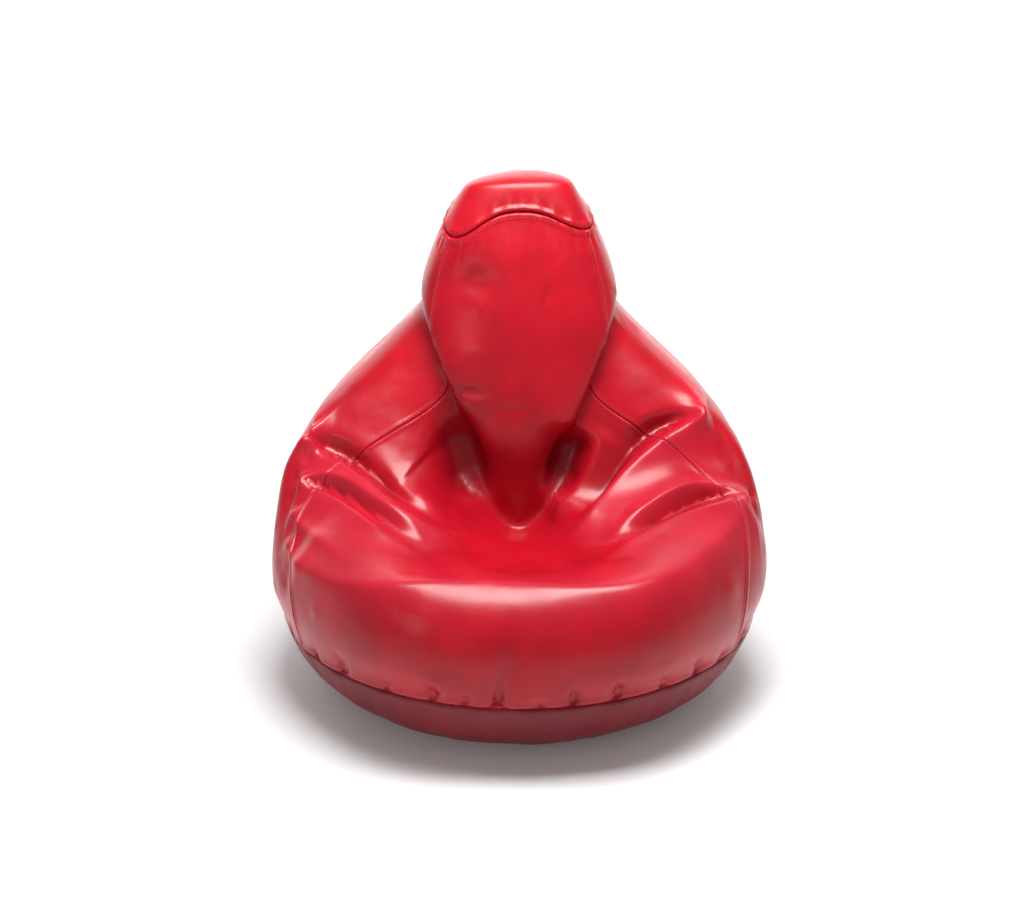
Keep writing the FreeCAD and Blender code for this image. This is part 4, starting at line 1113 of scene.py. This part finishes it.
@dataclass
class Filling:
    """The bead-filled liner inside the cover."""

    shape: BagShape
    liner_depth: float = 6 * MM
    liner_cloth: float = 0.8 * MM
    fill_gap: float = 0.6 * MM
    floor: float = 13.5 * MM
    step: tuple[int, int] = (4, 6)
    spread: int = 7
    cap_ease: float = 2 * MM
    cap_step: int = 3

    def build(self, grid: Grid, cap: np.ndarray) -> None:
        """Builds the liner and the beads in it, under the cover's grid and the cap's."""
        fill_depth = self.liner_depth + self.liner_cloth + self.fill_gap
        liner_outer = self._inset(grid, cap, self.liner_depth)
        liner_inner = self._inset(grid, cap, self.liner_depth + self.liner_cloth)
        liner = wrapped_sheet("liner_bag", liner_outer, liner_inner, Finish.LINER)
        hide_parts("liner_shell")
        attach(liner, "bag")
        beads = self._inset(grid, cap, fill_depth)
        beads[0, :, 2] += 1 * MM
        rows, columns = beads.shape[:2]
        points = [*beads.reshape(-1, 3), beads[-1].mean(axis=0), beads[0].mean(axis=0)]
        faces = band_faces(rows, columns)
        for c in range(columns):
            d = (c + 1) % columns
            faces.append([(rows - 1) * columns + c, (rows - 1) * columns + d, rows * columns])
            faces.append([d, c, rows * columns + 1])
        fill = new_object("bead_filling", np.array(points), faces, Finish.BEADS)
        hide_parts("bead_fill")
        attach(fill, "bag")
        LOG.info("liner and beads: %d faces", len(fill.data.polygons))

    def _inset(self, grid: Grid, cap: np.ndarray, depth: float) -> np.ndarray:
        """The inside of the cover and cap, this deep, from the liner's floor up to the crown, coarsely."""
        down, across = self.step
        lowest = grid.relief.copy()
        for _ in range(self.spread):
            for axis in (0, 1):
                near = [np.roll(lowest, shift, axis=axis) for shift in (-1, 1)]
                lowest = np.minimum(lowest, np.minimum(*near))
        held = np.minimum(lowest, 0) - depth
        side = (grid.taut + grid.taut_normals * held[..., None])[::down, :-1][:, ::across]
        low = self.floor + (depth - self.liner_depth)
        side = side[side[:, :, 2].min(axis=1) > self.shape.seam_height]
        turn = np.arctan2(side[0, :, 0], -side[0, :, 1])
        bends = np.linspace(math.acos(1 - low / self.shape.base_bend) + 0.02, self.shape.wall_turn - 0.04, 9)
        foot = []
        for bend in bends:
            radius = self.shape.contact_radius + (self.shape.base_bend - depth) * math.sin(bend)
            height = self.shape.base_bend - (self.shape.base_bend - depth) * math.cos(bend)
            foot.append(np.stack([radius * np.sin(turn), -radius * np.cos(turn),
                                  np.full_like(turn, max(height, low))], axis=1))
        crown = (cap - turned_normals(cap) * (depth + self.cap_ease))[2:-1:self.cap_step, ::across // 2]
        return np.concatenate([np.array(foot), side[:-1], crown])


@dataclass
class Stitching:
    """Lockstitch thread along seams, laid by Geometry Nodes along paths."""

    pitch: float = 6.2 * MM
    length: float = 4.4 * MM
    radius: float = 0.42 * MM

    def lay(self, name: str, paths: list[np.ndarray], body: str) -> bpy.types.Object:
        """Lays stitches along paths and turns them into one mesh.

        Args:
            name: the piece's name.
            paths: points of each path.
            body: the body it rides on.

        Returns:
            The mesh object.
        """
        sizes = {"Spacing": self.pitch, "Length": self.length, "Radius": self.radius}
        return instanced(name, paths, self._tree(), sizes, body)

    def _tree(self) -> bpy.types.NodeTree:
        """Node group that lays one thread loop at each step along the paths."""
        tree, given, spots = path_group("stitches", ("Spacing", "Length", "Radius"), "Stitches")
        ball = add_node(tree, "GeometryNodeMeshUVSphere", {"Segments": 6, "Rings": 5, "Radius": 1.0})
        half = add_node(tree, "ShaderNodeMath", {0: given["Length"], 1: 0.5}, operation="MULTIPLY")
        size = add_node(tree, "ShaderNodeCombineXYZ", {"X": given["Radius"], "Y": given["Radius"],
                                                       "Z": half.outputs[0]})
        lay_on_path(tree, spots, ball.outputs["Mesh"], Finish.THREAD, size.outputs["Vector"])
        return tree


def path_group(name: str, sizes: tuple[str, ...], result: str) -> tuple:
    """Starts a node group that steps along its paths.

    Args:
        name: the group's name.
        sizes: its number inputs, "Spacing" among them.
        result: the name of its output.

    Returns:
        The group, its inputs' sockets and the node that gives the steps.
    """
    tree = bpy.data.node_groups.new(name, "GeometryNodeTree")
    tree.interface.new_socket("Path", in_out="INPUT", socket_type="NodeSocketGeometry")
    for label in sizes:
        tree.interface.new_socket(label, in_out="INPUT", socket_type="NodeSocketFloat")
    tree.interface.new_socket(result, in_out="OUTPUT", socket_type="NodeSocketGeometry")
    given = add_node(tree, "NodeGroupInput").outputs
    spots = add_node(tree, "GeometryNodeCurveToPoints", {"Curve": given["Path"], "Length": given["Spacing"]},
                     mode="LENGTH")
    return tree, given, spots


def lay_on_path(tree: bpy.types.NodeTree, spots: bpy.types.Node, piece: bpy.types.NodeSocket, finish: Finish,
                size: bpy.types.NodeSocket | None = None) -> None:
    """Ends a node group: a piece at each step, turned along the path, made real, smooth and coated.

    Args:
        tree: the node group.
        spots: the node that gives the steps.
        piece: the piece's socket.
        finish: what the pieces are made of.
        size: the scale of each piece, where it isn't 1.
    """
    turn = add_node(tree, "FunctionNodeAlignRotationToVector", {"Vector": spots.outputs["Tangent"]},
                    axis="Z")
    laid = add_node(tree, "GeometryNodeInstanceOnPoints",
                    {"Points": spots.outputs["Points"], "Instance": piece, "Rotation": turn.outputs["Rotation"]})
    if size is not None:
        tree.links.new(size, laid.inputs["Scale"])
    real = add_node(tree, "GeometryNodeRealizeInstances", {"Geometry": laid.outputs["Instances"]})
    smooth = add_node(tree, "GeometryNodeSetShadeSmooth", {"Geometry": real.outputs["Geometry"]})
    coated = add_node(tree, "GeometryNodeSetMaterial", {"Geometry": smooth.outputs["Geometry"]})
    coated.inputs["Material"].default_value = finish.material()
    add_node(tree, "NodeGroupOutput", {0: coated.outputs["Geometry"]})


def instanced(name: str, paths: list[np.ndarray], tree: bpy.types.NodeTree, values: dict[str, float],
              body: str) -> bpy.types.Object:
    """Runs a node group over paths and keeps the result as a plain mesh.

    Args:
        name: the piece's name.
        paths: points of each path.
        tree: the node group.
        values: the group's named inputs.
        body: the body the piece rides on.

    Returns:
        The mesh object.
    """
    curve = bpy.data.curves.new(name, "CURVE")
    curve.dimensions = "3D"
    for path in paths:
        line = curve.splines.new("POLY")
        line.points.add(len(path) - 1)
        line.points.foreach_set("co", np.column_stack([path, np.ones(len(path))]).ravel())
    guide = bpy.data.objects.new(name + "_path", curve)
    bpy.context.scene.collection.objects.link(guide)
    modifier = guide.modifiers.new("lay", "NODES")
    modifier.node_group = tree
    for item in tree.interface.items_tree:
        if item.in_out == "INPUT" and item.name in values:
            modifier[item.identifier] = values[item.name]
    depsgraph = bpy.context.evaluated_depsgraph_get()
    mesh = bpy.data.meshes.new_from_object(guide.evaluated_get(depsgraph), depsgraph=depsgraph)
    mesh.name = name
    bpy.data.objects.remove(guide)
    thing = bpy.data.objects.new(name, mesh)
    bpy.context.scene.collection.objects.link(thing)
    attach(thing, body)
    LOG.info("%s: %d faces", name, len(mesh.polygons))
    return thing


@dataclass
class SeamThread:
    """Topstitching beside every seam of the cover."""

    stitching: Stitching = field(default_factory=Stitching)
    lift: float = 0.15 * MM
    beside: int = 3
    edge_row: float = 9 * MM
    zip_row: float = 18 * MM

    def build(self, grid: Grid) -> None:
        """Lays two rows beside each panel seam, and one beside the cap and base seams."""
        raised = grid.points + grid.normals * self.lift
        paths = []
        for at in grid.breaks[:-1]:
            for side in (self.beside, -self.beside):
                column = (at + side) % (grid.points.shape[1] - 1)
                paths.append(raised[3:-3, column])
        top_gap = np.linalg.norm(grid.taut - grid.taut[-1], axis=2).mean(axis=1)
        base_gap = np.linalg.norm(grid.taut - grid.taut[0], axis=2).mean(axis=1)
        paths.append(raised[int(np.abs(top_gap - self.edge_row).argmin())])
        back = grid.breaks[3]
        paths.append(raised[int(np.abs(base_gap - self.edge_row).argmin()), :back])
        paths.append(raised[int(np.abs(base_gap - self.zip_row).argmin()), back:])
        self.stitching.lay("seam_thread", paths, "bag")


@dataclass
class ZipCoils:
    """Coils of nylon teeth along each zip, laid by Geometry Nodes."""

    coil_radius: float = 1.2 * MM
    wire_radius: float = 0.33 * MM
    pitch: float = 1.5 * MM

    def build(self) -> None:
        """Replaces the plain rods of the four coils."""
        for name in ("cover_zip_coil_upper", "cover_zip_coil_lower"):
            low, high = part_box(name)
            radius = high[1] - self.coil_radius
            height = (low[2] + high[2]) / 2
            ends = math.atan2(high[0] - self.coil_radius, -(low[1] + self.coil_radius * 0.6))
            turn = np.linspace(ends, 2 * math.pi - ends, 400)
            path = np.stack([radius * np.sin(turn), -radius * np.cos(turn), np.full_like(turn, height)],
                            axis=1)
            self._coil(name, path)
        for name in ("liner_zip_coil_front", "liner_zip_coil_rear"):
            low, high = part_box(name)
            middle = (low + high) / 2
            along = np.linspace(low[0], high[0], 20)
            path = np.stack([along, np.full_like(along, middle[1]), np.full_like(along, middle[2])], axis=1)
            self._coil(name, path)

    def _coil(self, node: str, path: np.ndarray) -> None:
        """One coil in place of a rod."""
        name = node.replace("coil", "teeth")
        sizes = {"Spacing": self.pitch, "Coil radius": self.coil_radius - self.wire_radius,
                 "Wire radius": self.wire_radius}
        piece = instanced(name, [path], self._tree(), sizes, "bag")
        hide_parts(node)

    def _tree(self) -> bpy.types.NodeTree:
        """Node group that lays a loop of wire at each step along a path."""
        tree, given, spots = path_group("coil_teeth", ("Spacing", "Coil radius", "Wire radius"), "Teeth")
        loop = add_node(tree, "GeometryNodeCurvePrimitiveCircle",
                        {"Resolution": 10, "Radius": given["Coil radius"]})
        wire = add_node(tree, "GeometryNodeCurvePrimitiveCircle",
                        {"Resolution": 5, "Radius": given["Wire radius"]})
        tooth = add_node(tree, "GeometryNodeCurveToMesh", {"Curve": loop.outputs["Curve"],
                                                           "Profile Curve": wire.outputs["Curve"]})
        lay_on_path(tree, spots, tooth.outputs["Mesh"], Finish.COIL)
        return tree


@dataclass
class GrabLoop:
    """The strap loop behind the headrest and its sewn foot."""

    width: float = 38 * MM
    thickness: float = 2 * MM
    lean: float = math.radians(27.12)
    points_round: int = 120
    stitching: Stitching = field(default_factory=lambda: Stitching(pitch=3.6 * MM, length=2.8 * MM))

    def build(self) -> None:
        """Builds the strap, its foot and their stitches."""
        low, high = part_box("grab_loop")
        along = np.array([0.0, math.sin(self.lean), -math.cos(self.lean)])
        out = np.array([0.0, math.cos(self.lean), math.sin(self.lean)])
        across = np.array([1.0, 0.0, 0.0])
        corners = np.array([[0.0, y, z] for y in (low[1], high[1]) for z in (low[2], high[2])])
        middle = corners.mean(axis=0)
        half_run, half_gap = self._half_sizes(high[1] - low[1], high[2] - low[2])
        turn = np.linspace(0, 2 * math.pi, self.points_round, endpoint=False)
        straight = half_run - half_gap
        run = np.where(np.abs(np.cos(turn)) > 1e-9, np.sign(np.cos(turn)) * straight * smooth_step(
            np.abs(np.cos(turn)) * 1.6), 0) + half_gap * np.cos(turn)
        gap = half_gap * np.sin(turn)
        centre = middle + run[:, None] * along + gap[:, None] * out
        forward = np.roll(centre, -1, axis=0) - np.roll(centre, 1, axis=0)
        side = np.cross(across, forward)
        side /= np.linalg.norm(side, axis=1, keepdims=True)
        half = self.width / 2
        section = [(-half, 0.45), (-half + 0.6 * MM, 1.0), (-half + 3 * MM, 1.05), (0, 0.9), (half - 3 * MM, 1.05),
                   (half - 0.6 * MM, 1.0), (half, 0.45)]
        ring = [(x, rise) for x, rise in section] + [(x, -rise) for x, rise in reversed(section)]
        rows = [centre + across * x + side * rise * self.thickness / 2 for x, rise in ring]
        grid = np.array(rows)
        count = len(ring)
        faces = []
        for r in range(count):
            for c in range(self.points_round):
                n, m = (r + 1) % count, (c + 1) % self.points_round
                faces.append([r * self.points_round + c, r * self.points_round + m,
                              n * self.points_round + m, n * self.points_round + c])
        strap = new_object("grab_strap", grid.reshape(-1, 3), faces, Finish.COVER)
        outward(strap)
        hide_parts("grab_loop")
        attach(strap, "loop")
        closed = np.vstack([centre, centre[:1]])
        sides = np.vstack([side, side[:1]])
        paths = [closed + across * x + sides * (self.thickness * 0.52) * face
                 for x in (-half + 4 * MM, half - 4 * MM) for face in (-1, 1)]
        self.stitching.lay("strap_thread", paths, "loop")
        self._foot()
        LOG.info("grab loop: %d faces", len(strap.data.polygons))

    def _half_sizes(self, depth: float, height: float) -> tuple[float, float]:
        """Half the run and half the gap of the loop's middle line, from its leaning box."""
        sine, cosine = math.sin(self.lean), math.cos(self.lean)
        outer_radius = 6 * MM
        straight = ((height / 2 - outer_radius) / cosine + (depth / 2 - outer_radius) / sine) / 2
        return straight + outer_radius - self.thickness / 2, outer_radius - self.thickness / 2

    def _foot(self) -> None:
        """The sewn foot: the CAD patch with rounded edges."""
        source = bpy.data.objects["grab_loop_anchor"]
        mesh = source.data.copy()
        foot = bpy.data.objects.new("strap_foot", mesh)
        bpy.context.scene.collection.objects.link(foot)
        foot.matrix_world = source.matrix_world.copy()
        shape = bmesh.new()
        shape.from_mesh(mesh)
        bmesh.ops.remove_doubles(shape, verts=shape.verts, dist=1e-6)
        bmesh.ops.dissolve_limit(shape, angle_limit=0.02, verts=shape.verts, edges=shape.edges)
        bmesh.ops.bevel(shape, geom=list(shape.edges), offset=0.4 * MM, segments=2, affect="EDGES")
        bmesh.ops.recalc_face_normals(shape, faces=shape.faces)
        shape.to_mesh(mesh)
        shape.free()
        mesh.materials.clear()
        mesh.materials.append(Finish.COVER.material())
        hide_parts("grab_loop_anchor")
        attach(foot, "bag")


def outward(thing: bpy.types.Object) -> None:
    """Turns a closed mesh's normals outward."""
    shape = bmesh.new()
    shape.from_mesh(thing.data)
    bmesh.ops.recalc_face_normals(shape, faces=shape.faces)
    shape.to_mesh(thing.data)
    shape.free()


CAD_FINISHES = {
    "cover_zip_tape_upper": Finish.TAPE, "cover_zip_tape_lower": Finish.TAPE,
    "liner_zip_tape_front": Finish.TAPE, "liner_zip_tape_rear": Finish.TAPE,
    "cover_zip_end_stops": Finish.METAL, "liner_zip_end_stops": Finish.METAL,
    "cover_zip_slider": Finish.METAL, "liner_zip_slider": Finish.METAL,
    "cover_zip_pull_tab": Finish.METAL,
    "liner_base_front": Finish.LINER, "liner_base_rear": Finish.LINER,
}


def coat_cad_pieces() -> None:
    """Gives the CAD pieces that keep their shape their finishes."""
    for node, finish in CAD_FINISHES.items():
        piece = bpy.data.objects[node]
        piece.data.materials.clear()
        piece.data.materials.append(finish.material())


# -------------------------------------------------------------------------- studio
@dataclass
class Studio:
    """Plain floor, soft light and the camera."""

    elevation: float = math.radians(20)
    distance: float = 2.9
    lens: float = 55.4
    target: Vector = field(default_factory=lambda: Vector((-0.013, 0.0, 0.42)))
    floor_half: float = 8.0
    floor_glow: float = 0.06
    wall_half: float = 12.0
    wall_distance: float = 7.5
    wall_glow: float = 0.85
    room_glow: float = 0.26

    def build(self) -> None:
        """Builds the floor, the lights and the camera."""
        self._floor()
        self._lights()
        self._camera()

    def _floor(self) -> None:
        """A wide pale floor."""
        half = self.floor_half
        corners = np.array([(-half, -half, 0), (half, -half, 0), (half, half, 0), (-half, half, 0)])
        mesh = bpy.data.meshes.new("floor")
        mesh.from_pydata(corners.tolist(), [], [[0, 1, 2, 3]])
        floor = bpy.data.objects.new("floor", mesh)
        bpy.context.scene.collection.objects.link(floor)
        material, tree, shader = new_material("painted_floor_white")
        shader.inputs["Base Color"].default_value = linear("f4f4f4")
        shader.inputs["Roughness"].default_value = 0.9
        shader.inputs["Emission Color"].default_value = (1.0, 1.0, 1.0, 1.0)
        shader.inputs["Emission Strength"].default_value = self.floor_glow
        mesh.materials.append(material)
        wall_mesh = bpy.data.meshes.new("backdrop")
        side, away = self.wall_half, self.wall_distance
        wall_corners = [(-side, away, -1), (side, away, -1), (side, away, 9), (-side, away, 9)]
        wall_mesh.from_pydata(wall_corners, [], [[0, 3, 2, 1]])
        wall = bpy.data.objects.new("backdrop", wall_mesh)
        bpy.context.scene.collection.objects.link(wall)
        paint, _, coat = new_material("lit_backdrop_white")
        coat.inputs["Base Color"].default_value = linear("f4f4f4")
        coat.inputs["Emission Color"].default_value = (1.0, 1.0, 1.0, 1.0)
        coat.inputs["Emission Strength"].default_value = self.wall_glow
        wall_mesh.materials.append(paint)

    def _area(self, name: str, place: tuple[float, float, float], size: tuple[float, float], power: float,
              aim: tuple[float, float, float] = (0.0, 0.0, 0.4)) -> None:
        """A soft box.

        Args:
            name: the light's name.
            place: where it hangs.
            size: its sides.
            power: its power in watts.
            aim: the point it faces.
        """
        light = bpy.data.lights.new(name, "AREA")
        light.shape = "RECTANGLE"
        light.size, light.size_y = size
        light.energy = power
        lamp = bpy.data.objects.new(name, light)
        lamp.location = place
        lamp.rotation_euler = (Vector(aim) - Vector(place)).to_track_quat("-Z", "Y").to_euler()
        bpy.context.scene.collection.objects.link(lamp)

    def _lights(self) -> None:
        """A large soft box overhead, a weak one in front and a bright room."""
        self._area("overhead", (0.1, -0.35, 2.3), (1.3, 0.8), 64)
        self._area("front_left", (-1.6, -2.6, 1.3), (0.9, 0.7), 4)
        self._area("background", (0.0, 4.2, 3.0), (7.0, 1.6), 170, (0.0, 5.4, 0.0))
        world = bpy.data.worlds.new("room")
        world.use_nodes = True
        world.node_tree.nodes["Background"].inputs["Color"].default_value = (1, 1, 1, 1)
        world.node_tree.nodes["Background"].inputs["Strength"].default_value = self.room_glow
        bpy.context.scene.world = world
        bpy.context.scene.view_settings.view_transform = "Standard"

    def _camera(self) -> None:
        """The camera, in front and a little above."""
        camera = bpy.data.cameras.new("camera")
        camera.lens = self.lens
        eye = bpy.data.objects.new("camera", camera)
        back = Vector((0, -math.cos(self.elevation), math.sin(self.elevation)))
        eye.location = self.target + back * self.distance
        eye.rotation_euler = (-back).to_track_quat("-Z", "Y").to_euler()
        bpy.context.scene.collection.objects.link(eye)
        bpy.context.scene.camera = eye


def main() -> None:
    """Builds the chair and its studio."""
    logging.basicConfig(level=logging.INFO, format="%(name)s: %(message)s")
    Studio().build()
    panels = CoverPanels()
    grid = panels.build()
    cap = HeadCap().build(panels.cover, grid)
    BaseCup(panels.cover.shape).build()
    Filling(panels.cover.shape).build(grid, cap)
    SeamThread().build(grid)
    ZipCoils().build()
    GrabLoop().build()
    coat_cad_pieces()


if __name__ == "__main__":
    main()
